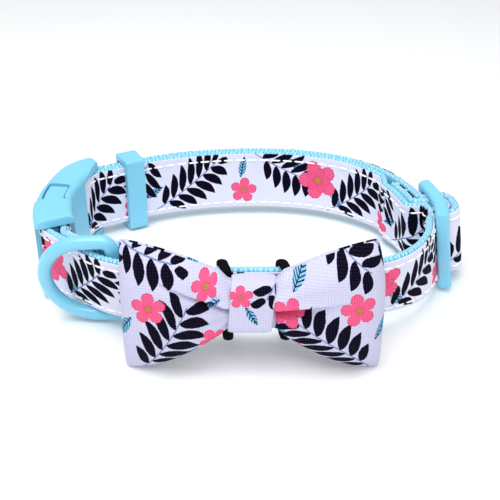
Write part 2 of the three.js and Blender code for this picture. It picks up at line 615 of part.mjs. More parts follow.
function bowSurface(turn, v) {
  const form = BOW_PROFILE;
  const along = Math.cos(turn);
  const share = Math.abs(along);
  const front = Math.sin(turn) < 0;
  const open = smooth(PINCH, PINCH + form.opensOver, share);
  const grow = Math.max(0, (share - PINCH) / (1 - PINCH));
  const topShare = THREE.MathUtils.lerp(form.topAtKnot, 1, grow);
  const bottomShare = THREE.MathUtils.lerp(form.bottomAtKnot, 1, Math.sin((grow * Math.PI) / 2));
  const top = THREE.MathUtils.lerp(KNOT_ROOM, BOW_TOP * topShare, open);
  const bottom = THREE.MathUtils.lerp(KNOT_ROOM, BOW_BOTTOM * bottomShare, open);
  const rise = smooth(PINCH, form.puffFull, share) * THREE.MathUtils.lerp(1, form.puffLeftAtEdge, v * v);
  const fold = Math.exp(-((v / form.pleatHeight) ** 2)) * open
    * (1 - smooth(form.pleatFrom, form.pleatTo, share));
  const bulge = front ? BOW_PUFF_FRONT * rise - PLEAT_DEPTH * fold : BOW_PUFF_BACK * rise;
  const depth = (SQUEEZE + bulge) * Math.sqrt(Math.max(0, 1 - share ** 6));
  const topInset = along < 0 ? BOW_LEFT_INSET : BOW_RIGHT_INSET;
  const inset = v > 0 ? topInset * v ** 2 : BOW_LOW_INSET * v ** 6;
  const reach = along < 0 ? BOW_LEFT : BOW_RIGHT;
  const sweep = BOW_SWEEP * share ** 2;
  return new THREE.Vector3(
    (reach - inset * grow) * along, sweep + (front ? -depth : depth), v * (v > 0 ? top : bottom));
}

const DIFFERENCE = 1e-3;
function bowGeometry() {
  const rings = Array.from({ length: BOW_AROUND }, (_, i) => {
    const turn = (2 * Math.PI * (i + 0.5)) / BOW_AROUND;
    const sides = [1, -1].map((side) => Array.from({ length: BOW_UP + 1 }, (_, j) => {
      const v = (2 * j) / BOW_UP - 1;
      const along = bowSurface(turn + DIFFERENCE, v).sub(bowSurface(turn - DIFFERENCE, v));
      const upper = bowSurface(turn, Math.min(1, v + DIFFERENCE));
      const lower = bowSurface(turn, Math.max(-1, v - DIFFERENCE));
      const normal = along.cross(upper.sub(lower)).normalize();
      return bowSurface(turn, v).addScaledVector(normal, (side * CLOTH_WALL) / 2);
    }));
    return [...sides[0], ...sides[1].reverse()];
  });
  return loft(rings, true);
}

// Knot: closed cloth band round the pinched middle of the bow, a little full across
const KNOT_COLUMNS = [-1, -0.7, 0, 0.7, 1];
function knotGeometry() {
  const middle = (wall) => roundedRectangle(
    -KNOT_DEPTH / 2 + wall, KNOT_DEPTH / 2 - wall,
    -KNOT_HEIGHT / 2 + wall, KNOT_HEIGHT / 2 - wall, KNOT_RADIUS - wall, 4);
  const outer = middle(0);
  const inner = middle(KNOT_WALL);
  const rings = outer.map((point, i) => {
    const crown = (x) => 1 - KNOT_CROWN * x ** 4;
    const lean = (w) => (KNOT_SKEW * w) / (KNOT_HEIGHT / 2);
    const outside = KNOT_COLUMNS.map((x) => new THREE.Vector3(
      (x * KNOT_WIDTH) / 2 + lean(point.w), point.o * crown(x), point.w * crown(x)));
    const inside = [1, -1].map((x) => new THREE.Vector3(
      (x * KNOT_WIDTH) / 2 + lean(inner[i].w), inner[i].o, inner[i].w));
    return [...outside, ...inside];
  });
  return loft(rings, true);
}

// Elastic: closed band round the strap
function elasticGeometry(s) {
  const band = (out) => roundedRectangle(-out, OUTER + TO_PRINT + out,
    -HALF_STRAP - out, HALF_STRAP + out, ELASTIC_RADIUS + out - CLEARANCE, 2);
  const inner = band(CLEARANCE);
  const outer = band(CLEARANCE + ELASTIC_THICKNESS);
  const near = s - ELASTIC_WIDTH / 2;
  const far = s + ELASTIC_WIDTH / 2;
  const rings = outer.map((point, i) => [
    place(near, point.o, point.w), place(far, point.o, point.w),
    place(far, inner[i].o, inner[i].w), place(near, inner[i].o, inner[i].w),
  ]);
  return loft(rings, true);
}

// Materials
const colours = {
  webbing: 0x7fd6ee, print: 0xe6e4f8, plastic: 0x8fdff8, metal: 0x8edcf5, cloth: 0xe9e6f7, elastic: 0x101114,
};
function material(colour, roughness, metalness = 0) {
  return new THREE.MeshStandardMaterial({ color: colours[colour], roughness, metalness });
}

function piece(name, geometry, look) {
  const mesh = new THREE.Mesh(geometry, look);
  mesh.name = name;
  return mesh;
}

const collar = new THREE.Group();
collar.add(piece('webbing', webbingGeometry(), material('webbing', 0.75)));
collar.add(piece('printed_ribbon', ribbonGeometry(), material('print', 0.7)));
collar.add(piece('buckle_female', socketGeometry(), material('plastic', 0.35)));
collar.add(piece('buckle_male', prongGeometry(), material('plastic', 0.35)));
collar.add(piece('keeper', keeperGeometry(), material('plastic', 0.35)));
collar.add(piece('slider', sliderGeometry(), material('plastic', 0.35)));

// The ring turns about its bar, which stands across the strap between its two layers
const ringFrame = frameAt(RING_S);
const ring = piece('d_ring', ringGeometry(), material('metal', 0.3));
const swing = THREE.MathUtils.degToRad(RING_SWING);
const reachOut = ringFrame.tangent.clone().multiplyScalar(-Math.cos(swing))
  .addScaledVector(ringFrame.outward, Math.sin(swing));
ring.setRotationFromMatrix(new THREE.Matrix4().makeBasis(
  reachOut, ringFrame.across, reachOut.clone().cross(ringFrame.across)));
ring.position.copy(place(RING_S, RING_O, 0));
collar.add(ring);

// The bow stands upright in front of the strap, with its back at the strap's top edge
const bow = new THREE.Group();
const stripTop = place(0, KNOT_BACK, HALF_STRAP);
bow.position.set(stripTop.x, stripTop.y - KNOT_DEPTH / 2 - CLEARANCE, 0);
bow.add(piece('bow_body', bowGeometry(), material('cloth', 0.7)));
bow.add(piece('bow_knot', knotGeometry(), material('cloth', 0.7)));
bow.rotation.x = -THREE.MathUtils.degToRad(BOW_TILT);
collar.add(bow);
collar.add(piece('elastic_left', elasticGeometry(-ELASTIC_LEFT), material('elastic', 0.8)));
collar.add(piece('elastic_right', elasticGeometry(ELASTIC_RIGHT), material('elastic', 0.8)));

// Sets the bow's lower edge and then the whole collar down on the ground, centred
collar.updateMatrixWorld(true);
const lowest = (object) => new THREE.Box3().setFromObject(object, true).min.z;
bow.position.z += lowest(collar.getObjectByName('keeper')) - lowest(bow);
collar.updateMatrixWorld(true);
const bounds = new THREE.Box3().setFromObject(collar, true);
const middle = bounds.getCenter(new THREE.Vector3());
collar.position.set(-middle.x, -middle.y, -bounds.min.z);

export default collar;
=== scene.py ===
import math

import bpy
import numpy as np
from mathutils import Matrix, Vector


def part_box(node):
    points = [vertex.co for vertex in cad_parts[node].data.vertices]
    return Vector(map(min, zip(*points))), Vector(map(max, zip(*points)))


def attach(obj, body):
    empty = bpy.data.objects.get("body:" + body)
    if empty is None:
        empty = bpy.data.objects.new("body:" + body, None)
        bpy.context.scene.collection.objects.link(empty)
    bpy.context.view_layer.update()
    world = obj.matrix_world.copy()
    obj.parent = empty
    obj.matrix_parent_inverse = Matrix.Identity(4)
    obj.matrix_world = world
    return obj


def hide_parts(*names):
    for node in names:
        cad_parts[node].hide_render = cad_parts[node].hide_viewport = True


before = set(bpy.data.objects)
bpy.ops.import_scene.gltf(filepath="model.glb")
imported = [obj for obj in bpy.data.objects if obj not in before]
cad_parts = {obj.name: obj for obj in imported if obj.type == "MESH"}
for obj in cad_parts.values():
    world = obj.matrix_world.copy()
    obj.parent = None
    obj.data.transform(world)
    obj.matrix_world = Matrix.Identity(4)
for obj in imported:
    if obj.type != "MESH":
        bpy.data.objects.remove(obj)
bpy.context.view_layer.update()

# Camera. The collar is seen from its front, close to and 30 degrees above the level,
# with the whole loop in the picture. Sizes here and below are in millimetres.
MM = 0.001
CAMERA_AT = (-0.45, -221.13, 138.1)
CAMERA_DOWN = 30
FOCUS_PIXELS = 871
PICTURE_PIXELS = 500

camera_data = bpy.data.cameras.new("camera")
camera_data.sensor_width = 36
camera_data.lens = camera_data.sensor_width * FOCUS_PIXELS / PICTURE_PIXELS
camera_data.clip_start = 0.01
camera = bpy.data.objects.new("camera", camera_data)
camera.location = Vector(CAMERA_AT) * MM
camera.rotation_euler = (math.radians(90 - CAMERA_DOWN), 0, 0)
bpy.context.collection.objects.link(camera)
bpy.context.scene.camera = camera

# Floor and light. A sheet of plain white card under a wide soft box, with a weaker one
# in front, as small goods are lit for a shop.
FLOOR_SIZE = 4000
CARD_WHITE = "#fdfefe"
ROOM_WHITE = "#fbfdff"
ROOM_LIGHT = 0.64
LIGHTS = [
    # name, place, side, power in watts
    ("soft_box", (-90, -130, 510), 400, 2.15),
    ("front_light", (150, -430, 480), 300, 0.75),
]


def srgb(code):
    """Linear colour from an sRGB hex value."""
    parts = [int(code[i:i + 2], 16) / 255 for i in (1, 3, 5)]
    return [p / 12.92 if p <= 0.04045 else ((p + 0.055) / 1.055) ** 2.4 for p in parts] + [1.0]


def add(tree, kind, inputs=None, **settings):
    """One node with its settings. An input is a number, a colour, a socket or a node."""
    made = tree.nodes.new(kind)
    for name, value in settings.items():
        setattr(made, name, value)
    for key, value in (inputs or {}).items():
        if isinstance(value, bpy.types.Node):
            value = value.outputs[0]
        if isinstance(value, bpy.types.NodeSocket):
            tree.links.new(value, made.inputs[key])
        else:
            made.inputs[key].default_value = value
    return made


def new_material(name):
    """A material with an empty node tree, and that tree."""
    material = bpy.data.materials.new(name)
    material.use_nodes = True
    material.node_tree.nodes.clear()
    return material, material.node_tree


card, tree = new_material("matt_white_card")
# Uncoated card: quite matt, with a fine grain that only just breaks up the light
grain = add(tree, "ShaderNodeTexNoise", {"Scale": 900.0, "Detail": 2.0})
relief = add(tree, "ShaderNodeBump", {"Height": grain, "Strength": 0.02, "Distance": 0.0002})
shader = add(tree, "ShaderNodeBsdfPrincipled", {
    "Base Color": srgb(CARD_WHITE), "Roughness": 0.6, "Normal": relief})
add(tree, "ShaderNodeOutputMaterial", {"Surface": shader})

bpy.ops.object.select_all(action="DESELECT")
bpy.ops.mesh.primitive_plane_add(size=FLOOR_SIZE * MM, location=(0, 0, 0))
floor = bpy.context.object
floor.name = "floor"
floor.data.materials.append(card)

world = bpy.data.worlds.new("studio")
world.use_nodes = True
world.node_tree.nodes["Background"].inputs["Color"].default_value = srgb(ROOM_WHITE)
world.node_tree.nodes["Background"].inputs["Strength"].default_value = ROOM_LIGHT
bpy.context.scene.world = world
bpy.context.scene.view_settings.view_transform = "Standard"

for name, place_at, size, power in LIGHTS:
    light_data = bpy.data.lights.new(name, "AREA")
    light_data.size = size * MM
    light_data.energy = power
    light = bpy.data.objects.new(name, light_data)
    light.location = Vector(place_at) * MM
    light.rotation_euler = light.location.to_track_quat("Z", "Y").to_euler()
    bpy.context.collection.objects.link(light)

# Webbing. One long band of light turquoise nylon, woven 20 mm wide with chunky selvedge
# loops. It folds round both buckle bars, over the slider and round the ring's bar.
STRAP_WIDTH = 20.0
WEBBING_THICKNESS = 1.9
RIBBON_WIDTH = 19.2
RIBBON_THICKNESS = 0.35
RIBBON_GAP = 0.1
CLEARANCE = 0.3
LOOP_WIDTH = 108.0
LOOP_DEPTH = 78.0
FRONT_LEAN = 18.0
FRONT_LIFT = 5.2
BUCKLE_AT = 0.219
BUCKLE_REACH = 29.8
BUCKLE_BAR = 3.0
SLIDER_AT = 0.243
SLIDER_CENTRE_BAR = 2.2
CENTRE_BAR_THICKNESS = 2.4
SLIDER_TAIL = 18.0
RING_WIRE = 3.8
RING_FROM_BAR = 28.6
RING_TAIL = 10.0
RING_LEAD = 4.8
SELVEDGE_WIDTH = 1.0
WEBBING_EDGE = 0.85
WEBBING_STEP = 0.29
# Turquoise of the nylon in painted shade between the ribs and loops, and under painted highlight on their
# crests
NYLON_IN_PAINTED_SHADE = "#3aa5ca"
NYLON_IN_PAINTED_HIGHLIGHT = "#a9e2f5"

# Plan of the loop, anticlockwise from the bow. x and y are shares of half the loop's
# width and depth, lift and lean are shares of the front's lift and lean.
LOOP = np.array([
    # x, y, lift, lean
    (0.05, -0.997, 1, 1), (0.285, -0.985, 0.97, 1), (0.513, -0.928, 0.86, 0.92),
    (0.722, -0.803, 0.6, 0.66), (0.883, -0.59, 0.28, 0.05), (0.98, -0.308, 0.05, -0.42),
    (0.998, 0, 0, -0.46), (0.939, 0.323, 0, -0.42), (0.806, 0.61, 0, -0.2),
    (0.624, 0.82, 0, 0), (0.411, 0.944, 0, 0), (0.18, 0.997, 0, 0),
    (-0.061, 0.995, 0, 0), (-0.293, 0.949, 0, 0), (-0.515, 0.856, 0, 0),
    (-0.728, 0.71, 0, 0), (-0.932, 0.526, 0, 0), (-1.002, 0.205, 0, 0),
    (-1.008, -0.103, 0, 0), (-0.946, -0.4, 0.02, 0.02), (-0.806, -0.633, 0.42, 0.4),
    (-0.626, -0.82, 0.5, 0.62), (-0.413, -0.933, 0.78, 0.9), (-0.185, -0.985, 0.95, 0.99),
])
X, Y, LIFT, LEAN = range(4)
PLAN_STEPS = 40


def column(which, t):
    """Smooth closed curve through one column of the loop's plan, and its slope."""
    i = np.floor(t).astype(int)
    f = t - i
    a, b, c, d = (LOOP[(i + k) % len(LOOP), which] for k in (-1, 0, 1, 2))
    value = b + 0.5 * f * (c - a + f * (2 * a - 5 * b + 4 * c - d + f * (3 * (b - c) + d - a)))
    slope = 0.5 * (c - a + f * (2 * (2 * a - 5 * b + 4 * c - d) + f * 3 * (3 * (b - c) + d - a)))
    return value, slope


def lengths_along(line):
    """Distance from the start of a line of points to each of them."""
    return np.concatenate([[0], np.cumsum(np.linalg.norm(np.diff(line, axis=0), axis=1))])


plan_rows = np.linspace(0, len(LOOP), len(LOOP) * PLAN_STEPS + 1)
plan = np.stack([column(X, plan_rows)[0] * LOOP_WIDTH / 2, column(Y, plan_rows)[0] * LOOP_DEPTH / 2], 1)
plan_lengths = lengths_along(plan)
LOOP_LENGTH = plan_lengths[-1]
# How far the plan's middle lies from the frame's, measured below
collar_shift = np.zeros(3)


def strap_frame(s):
    """Middle of the strap and its axes along, outward and across, at length s."""
    s = np.asarray(s, float)
    t = np.interp(s % LOOP_LENGTH, plan_lengths, plan_rows)
    x, x_slope = column(X, t)
    y, y_slope = column(Y, t)
    along = np.stack([x_slope * LOOP_WIDTH, y_slope * LOOP_DEPTH, 0 * t], -1)
    along = along / np.linalg.norm(along, axis=-1, keepdims=True)
    out = np.stack([along[..., 1], -along[..., 0], 0 * t], -1)
    lean = np.radians(column(LEAN, t)[0] * FRONT_LEAN)[..., None]
    up = np.array([0.0, 0.0, 1.0])
    across = out * np.sin(lean) + up * np.cos(lean)
    outward = out * np.cos(lean) - up * np.sin(lean)
    height = column(LIFT, t)[0] * FRONT_LIFT + STRAP_WIDTH / 2 * np.cos(lean[..., 0])
    middle = np.stack([x * LOOP_WIDTH / 2, y * LOOP_DEPTH / 2, height + 0 * t], -1) + collar_shift
    return middle, along, outward, across


def place(s, o, w):
    """Point at length s, o outward of the outer layer's inner face, w above mid-width."""
    middle, _, outward, across = strap_frame(s)
    return middle + outward * np.asarray(o)[..., None] + across * np.asarray(w)[..., None]


HALF_WEBBING = WEBBING_THICKNESS / 2
HALF_STRAP = STRAP_WIDTH / 2
TO_PRINT = HALF_WEBBING + RIBBON_GAP + RIBBON_THICKNESS
BACK_TO_BACK = WEBBING_THICKNESS + CLEARANCE
PRINT_TO_BACK = TO_PRINT + CLEARANCE + HALF_WEBBING
OUTER = HALF_WEBBING
INNER = OUTER - BACK_TO_BACK
TAIL = OUTER - PRINT_TO_BACK
INNER_OF_THREE = TAIL - BACK_TO_BACK
BAR_O = (OUTER + INNER) / 2
FOLD = BUCKLE_BAR / 2 + CLEARANCE + HALF_WEBBING
RING_O = -CLEARANCE - RING_WIRE / 2
ROUND_RING = RING_O - RING_WIRE / 2 - CLEARANCE - HALF_WEBBING
PLATE_O = OUTER + TO_PRINT + CLEARANCE
ROUND_BAR = CLEARANCE + HALF_WEBBING
UNDER_CENTRE = PLATE_O - ROUND_BAR
OVER_CENTRE = PLATE_O + CENTRE_BAR_THICKNESS + ROUND_BAR
OVER_ALL = OVER_CENTRE + PRINT_TO_BACK
HALF_CENTRE_BAR = SLIDER_CENTRE_BAR / 2
SLIDER_S = SLIDER_AT * LOOP_LENGTH
MALE_BAR_S = -BUCKLE_AT * LOOP_LENGTH
FEMALE_BAR_S = LOOP_LENGTH + MALE_BAR_S - BUCKLE_REACH
RING_S = MALE_BAR_S + RING_FROM_BAR
SLANT = 0.2867
SLANT_WIDENING = math.hypot(1, SLANT)
FOLD_LEAD = 7.5
SOFT_BEND = 3.0
TIGHT_BEND = 1.8
TAIL_RISE = 4.5
TAIL_SPARE = 1.5
BEND_STEP = 6


def slant_turn(distance):
    """How far past a corner a layer turns down the slant, to stay this distance off it."""
    return distance * (SLANT_WIDENING - SLANT)


def tail_slope(o):
    """Length at which the tail, coming down off the slider, is o outward."""
    return SLIDER_S + HALF_CENTRE_BAR + slant_turn(ROUND_BAR) + (OVER_CENTRE - o) * SLANT


def outer_slope(o):
    """The same for the outer layer, which passes over the tail."""
    return tail_slope(o) + PRINT_TO_BACK * SLANT_WIDENING


def inner_slope(o):
    """The same for the inner layer, which lies under the tail."""
    return tail_slope(o) - BACK_TO_BACK * SLANT_WIDENING


def near_slope(o):
    """Length at which the outer layer, rising to the slider, is o outward."""
    return SLIDER_S - HALF_CENTRE_BAR - slant_turn(ROUND_BAR + PRINT_TO_BACK) - (OVER_ALL - o) * SLANT


ROUTE = [
    # length s, outward o, radius of the bend
    (RING_S + RING_TAIL, INNER, 0),
    (RING_S + RING_WIRE / 2 + RING_LEAD, INNER, SOFT_BEND),
    (RING_S + RING_WIRE / 2, ROUND_RING, TIGHT_BEND),
    (RING_S - RING_WIRE / 2, ROUND_RING, TIGHT_BEND),
    (RING_S - RING_WIRE / 2 - RING_LEAD, INNER, SOFT_BEND),
    (MALE_BAR_S + FOLD_LEAD, INNER, SOFT_BEND),
    (MALE_BAR_S + CLEARANCE, BAR_O - FOLD, TIGHT_BEND),
    (MALE_BAR_S - FOLD, BAR_O - FOLD, FOLD),
    (MALE_BAR_S - FOLD, BAR_O + FOLD, FOLD),
    (MALE_BAR_S + CLEARANCE, BAR_O + FOLD, TIGHT_BEND),
    (MALE_BAR_S + FOLD_LEAD, OUTER, SOFT_BEND),
    (near_slope(OUTER), OUTER, TIGHT_BEND),
    (near_slope(OVER_ALL), OVER_ALL, SOFT_BEND),
    (outer_slope(OVER_ALL), OVER_ALL, SOFT_BEND),
    (outer_slope(OUTER), OUTER, TIGHT_BEND),
    (FEMALE_BAR_S - FOLD_LEAD, OUTER, SOFT_BEND),
    (FEMALE_BAR_S - CLEARANCE, BAR_O + FOLD, TIGHT_BEND),
    (FEMALE_BAR_S + FOLD, BAR_O + FOLD, FOLD),
    (FEMALE_BAR_S + FOLD, BAR_O - FOLD, FOLD),
    (FEMALE_BAR_S - CLEARANCE, BAR_O - FOLD, TIGHT_BEND),
    (FEMALE_BAR_S - FOLD_LEAD, INNER, SOFT_BEND),
    (SLIDER_S + SLIDER_TAIL + TAIL_SPARE + TAIL_RISE, INNER, SOFT_BEND),
    (SLIDER_S + SLIDER_TAIL + TAIL_SPARE, INNER_OF_THREE, SOFT_BEND),
    (inner_slope(INNER_OF_THREE), INNER_OF_THREE, TIGHT_BEND),
    (inner_slope(UNDER_CENTRE), UNDER_CENTRE, ROUND_BAR),
    (SLIDER_S - HALF_CENTRE_BAR - ROUND_BAR, UNDER_CENTRE, ROUND_BAR),
    (SLIDER_S - HALF_CENTRE_BAR - ROUND_BAR, OVER_CENTRE, ROUND_BAR),
    (tail_slope(OVER_CENTRE), OVER_CENTRE, ROUND_BAR),
    (tail_slope(TAIL), TAIL, TIGHT_BEND),
    (SLIDER_S + SLIDER_TAIL, TAIL, 0),
]

route_points = [Vector(ROUTE[0][:2])]
for before, corner, after in zip(ROUTE, ROUTE[1:], ROUTE[2:]):
    here = Vector(corner[:2])
    into = (here - Vector(before[:2])).normalized()
    away = (Vector(after[:2]) - here).normalized()
    turn = math.atan2(into.x * away.y - into.y * away.x, into.dot(away))
    start = here - into * corner[2] * math.tan(abs(turn) / 2)
    centre = start + Vector((-into.y, into.x)) * corner[2] * math.copysign(1, turn)
    steps = max(1, math.ceil(abs(turn) / math.radians(BEND_STEP)))
    for k in range(steps + 1):
        route_points.append(centre + Matrix.Rotation(turn * k / steps, 2) @ (start - centre))
route_points.append(Vector(ROUTE[-1][:2]))
route = np.array([tuple(p) for p in route_points])
route_lengths = lengths_along(route)
BAND_LENGTH = route_lengths[-1]


def strap_point(d, h, w):
    """Point at distance d along the band, h towards its printed side from its middle."""
    reach = 0.2
    s, o = (np.interp(d, route_lengths, route[:, k]) for k in (0, 1))
    ahead, behind = (
        [np.interp(np.clip(d + r, 0, BAND_LENGTH), route_lengths, route[:, k]) for k in (0, 1)]
        for r in (reach, -reach))
    ds, do = ahead[0] - behind[0], ahead[1] - behind[1]
    size = np.hypot(ds, do)
    return place(s - do / size * h, o + ds / size * h, w)


# The plan's middle in the frame comes from the webbing's box in the CAD model
TRIAL_POINTS = 800
trial = np.linspace(0, BAND_LENGTH, TRIAL_POINTS)
edges = [(h, w) for h in (-HALF_WEBBING, HALF_WEBBING) for w in (-HALF_STRAP, HALF_STRAP)]
plain = np.concatenate([strap_point(trial, h, w) for h, w in edges])
webbing_box = np.array([tuple(corner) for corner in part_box("webbing")]) / MM
collar_shift = (webbing_box[0] + webbing_box[1]) / 2 - (plain.min(0) + plain.max(0)) / 2


def rounded_section(h0, h1, half_width, radius, across, around):
    """Closed outline (h, w) of a flat band with rounded edges, with so many points across
    each face and so many steps around each corner."""
    corners = [(h1 - radius, half_width - radius, 0), (h0 + radius, half_width - radius, 90),
               (h0 + radius, radius - half_width, 180), (h1 - radius, radius - half_width, 270)]
    outline = []
    for k, (h, w, start) in enumerate(corners):
        for i in range(around + 1):
            angle = math.radians(start + 90 * i / around)
            outline.append((h + radius * math.cos(angle), w + radius * math.sin(angle)))
        if k in (1, 3):
            side = outline[-1][1]
            for i in range(1, across):
                outline.append((outline[-1][0], side + (-2 * side) * i / across))
    return np.array(outline)


def new_grid(name, columns, rows):
    """A flat grid to be laid out, and its points, which run from -1 to 1 each way."""
    bpy.ops.object.select_all(action="DESELECT")
    bpy.ops.mesh.primitive_grid_add(x_subdivisions=columns, y_subdivisions=rows, size=2)
    grid = bpy.context.object
    grid.name = name
    flat = np.empty(len(grid.data.vertices) * 3)
    grid.data.vertices.foreach_get("co", flat)
    return grid, flat.reshape(-1, 3)


def keep_cloth_places(mesh, places):
    """The UV map "cloth" holds each point's place on the cloth laid flat, in metres."""
    corners = np.empty(len(mesh.loops), int)
    mesh.loops.foreach_get("vertex_index", corners)
    mesh.uv_layers[0].name = "cloth"
    mesh.uv_layers[0].data.foreach_set("uv", (places[corners] * MM).ravel())


def turn_outward():
    """Turns the faces of the active piece outward and shades it smooth."""
    bpy.ops.object.mode_set(mode="EDIT")
    bpy.ops.mesh.select_all(action="SELECT")
    bpy.ops.mesh.normals_make_consistent(inside=False)
    bpy.ops.object.mode_set(mode="OBJECT")
    bpy.ops.object.shade_smooth()


def band_mesh(name, step, outline, relief):
    """A grid laid along the band and closed round its outline. relief gives how far each
    point stands out and its height between 0 and 1, which is kept for painting shade in the hollows and
    highlight on the crests."""
    columns = len(outline)
    band, flat = new_grid(name, columns, int(BAND_LENGTH / step))
    mesh = band.data
    j = np.rint((flat[:, 0] + 1) / 2 * columns).astype(int) % columns
    d = (flat[:, 1] + 1) / 2 * BAND_LENGTH
    h, w = outline[j, 0], outline[j, 1]
    middle_h = (outline[:, 0].min() + outline[:, 0].max()) / 2
    lift, level = relief(d, h, w)
    # Loops at the strap's edges stand out sideways, all else square to the face
    sideways = np.where(np.abs(w) > HALF_STRAP - SELVEDGE_WIDTH, np.sign(w) * 0.8, 0)
    away = np.stack([h - middle_h, sideways], 1)
    away /= np.maximum(np.linalg.norm(away, axis=1, keepdims=True), 1e-6)
    points = strap_point(d, h + away[:, 0] * lift, w + away[:, 1] * lift)
    mesh.vertices.foreach_set("co", (points * MM).ravel())
    keep_cloth_places(mesh, np.stack([d, w], 1))
    # The height between 0 and 1 is kept for the webbing's painted shade and painted highlight
    height = mesh.attributes.new("rib", "FLOAT", "POINT")
    height.data.foreach_set("value", level)
    bpy.ops.object.mode_set(mode="EDIT")
    bpy.ops.mesh.select_all(action="SELECT")
    bpy.ops.mesh.remove_doubles(threshold=0.000002)
    bpy.ops.mesh.fill_holes(sides=0)
    turn_outward()
    return band


RIB_PITCH = 1.25
RIB_HEIGHT = 0.09
RIB_SLANT = 0.7
LOOP_HEIGHT = 0.3
LOOP_MIDDLE = 0.7
SELVEDGE_BLEND = 0.5


def woven_relief(d, h, w):
    """Slanting ribs on both faces and two rows of rounded loops along each edge."""
    rib = 0.5 + 0.5 * np.sin(2 * np.pi * (d + RIB_SLANT * np.abs(w)) / RIB_PITCH)
    # The loops are never quite alike, and the two rows of an edge are half a loop apart
    uneven = 0.12 * np.sin(d * 2.3 + h) + 0.1 * np.sin(d * 0.71 - 2 * h)
    row = np.where(h > 0, 0.5, 0)
    loop = np.abs(np.sin(np.pi * (d / RIB_PITCH + row + uneven))) * (0.9 + uneven / 2)
    edge = np.clip((np.abs(w) - HALF_STRAP + SELVEDGE_WIDTH) / SELVEDGE_BLEND, 0, 1)
    # level sets the painted shade in the hollows and the painted highlight on the crests
    level = (1 - edge) * rib + edge * loop
    return RIB_HEIGHT * (rib - 1) * (1 - edge) + LOOP_HEIGHT * (loop - LOOP_MIDDLE) * edge, level


nylon, tree = new_material("woven_nylon_webbing")
# Dyed nylon yarn, 0.4 mm thick and a little shiny; its colour is paled by painted highlight on the crests
# and deepened by painted shade between them
rib = add(tree, "ShaderNodeAttribute", attribute_name="rib")
cloth_uv = add(tree, "ShaderNodeUVMap", uv_map="cloth")
yarn = add(tree, "ShaderNodeTexNoise", {"Vector": cloth_uv, "Scale": 2600.0, "Detail": 3.0})
# Painted light: shade in the hollows and highlight on the crests, from the rib height
painted_light_share = add(tree, "ShaderNodeMapRange", {
    "Value": rib.outputs["Fac"], "From Min": 0.05, "From Max": 0.95})
colour = add(tree, "ShaderNodeMix", {0: painted_light_share, 6: srgb(NYLON_IN_PAINTED_SHADE), 7: srgb(NYLON_IN_PAINTED_HIGHLIGHT)},
             data_type="RGBA")
fibre = add(tree, "ShaderNodeBump", {"Height": yarn, "Strength": 0.35, "Distance": 0.0003})
shader = add(tree, "ShaderNodeBsdfPrincipled", {
    "Base Color": colour.outputs[2], "Roughness": 0.55, "Sheen Weight": 0.3, "Normal": fibre})
add(tree, "ShaderNodeOutputMaterial", {"Surface": shader})

webbing_outline = rounded_section(-HALF_WEBBING, HALF_WEBBING, HALF_STRAP, WEBBING_EDGE, 8, 3)
webbing = band_mesh("webbing_band", WEBBING_STEP, webbing_outline, woven_relief)
webbing.data.materials.append(nylon)
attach(webbing, "collar")
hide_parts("webbing")

# Printed ribbon. A smooth polyester ribbon, heat printed with palm fronds and open
# flowers on a pale lilac ground, sewn flat on one face of the webbing.
LEAF_BLACK = "#070319"
STEM_BLUE = "#7e8cb4"
PETAL = "#f5648f"
PETAL_DEEP = "#c92455"
EYE = "#b08a34"
BLADE_BLUE = "#7fc3e4"
BLADE_DARK = "#2d2b52"
RIBBON_GROUND = "#dfdff2"


def local_point(group, inlet):
    """Point from a motif's own place, turned to its own direction and repeated."""
    away = add(group, "ShaderNodeVectorMath", {0: inlet.outputs["Point"], 1: inlet.outputs["Place"]},
               operation="SUBTRACT")
    half = add(group, "ShaderNodeVectorMath", {0: inlet.outputs["Tile"], 1: (0.5, 0.5, 0.5)},
               operation="MULTIPLY")
    minus = add(group, "ShaderNodeVectorMath", {0: half, 1: (-1, -1, -1)}, operation="MULTIPLY")
    near = add(group, "ShaderNodeVectorMath", {0: away, 1: half, 2: minus}, operation="WRAP")
    back = add(group, "ShaderNodeMath", {0: inlet.outputs["Turn"], 1: -1.0}, operation="MULTIPLY")
    turned = add(group, "ShaderNodeVectorRotate", {"Vector": near, "Angle": back}, rotation_type="Z_AXIS")
    return add(group, "ShaderNodeSeparateXYZ", {0: turned})


def motif_group(name, sizes, results):
    """An empty group for one kind of motif, and the node that gives its inputs."""
    group = bpy.data.node_groups.new(name, "ShaderNodeTree")
    for label in ("Point", "Place", "Tile"):
        group.interface.new_socket(label, in_out="INPUT", socket_type="NodeSocketVector")
    for label in ("Turn", *sizes):
        group.interface.new_socket(label, in_out="INPUT", socket_type="NodeSocketFloat")
    for label in results:
        group.interface.new_socket(label, in_out="OUTPUT", socket_type="NodeSocketFloat")
    return group, add(group, "NodeGroupInput")


# Palm frond: a curved stem with slanting pointed leaflets, longest at its middle
SOFT_EDGE = 0.12
FROND_BEND = 0.007
LEAF_PITCH = 3.6
LEAF_HALF = 1.65
LEAF_SLANT = 0.75
LEAF_CURVE = 0.03
LEAF_FULLNESS = 0.45
LEAF_POINT = 0.8
STEM_HALF = 0.2
STEM_BEFORE = 1.5
STEM_SHORT = 2.5
group, inlet = motif_group("frond", ("Length", "Leaf"), ("Leaves", "Stem"))
at = local_point(group, inlet)
squared = add(group, "ShaderNodeMath", {0: at.outputs[0], 1: at.outputs[0]}, operation="MULTIPLY")
bent = add(group, "ShaderNodeMath", {0: squared, 1: -FROND_BEND, 2: at.outputs[1]},
           operation="MULTIPLY_ADD")
side = add(group, "ShaderNodeMath", {0: bent}, operation="ABSOLUTE")
upper = add(group, "ShaderNodeMath", {0: bent, 1: 0.0}, operation="GREATER_THAN")
slanted = add(group, "ShaderNodeMath", {0: side, 1: -LEAF_SLANT, 2: at.outputs[0]},
              operation="MULTIPLY_ADD")
side_squared = add(group, "ShaderNodeMath", {0: side, 1: side}, operation="MULTIPLY")
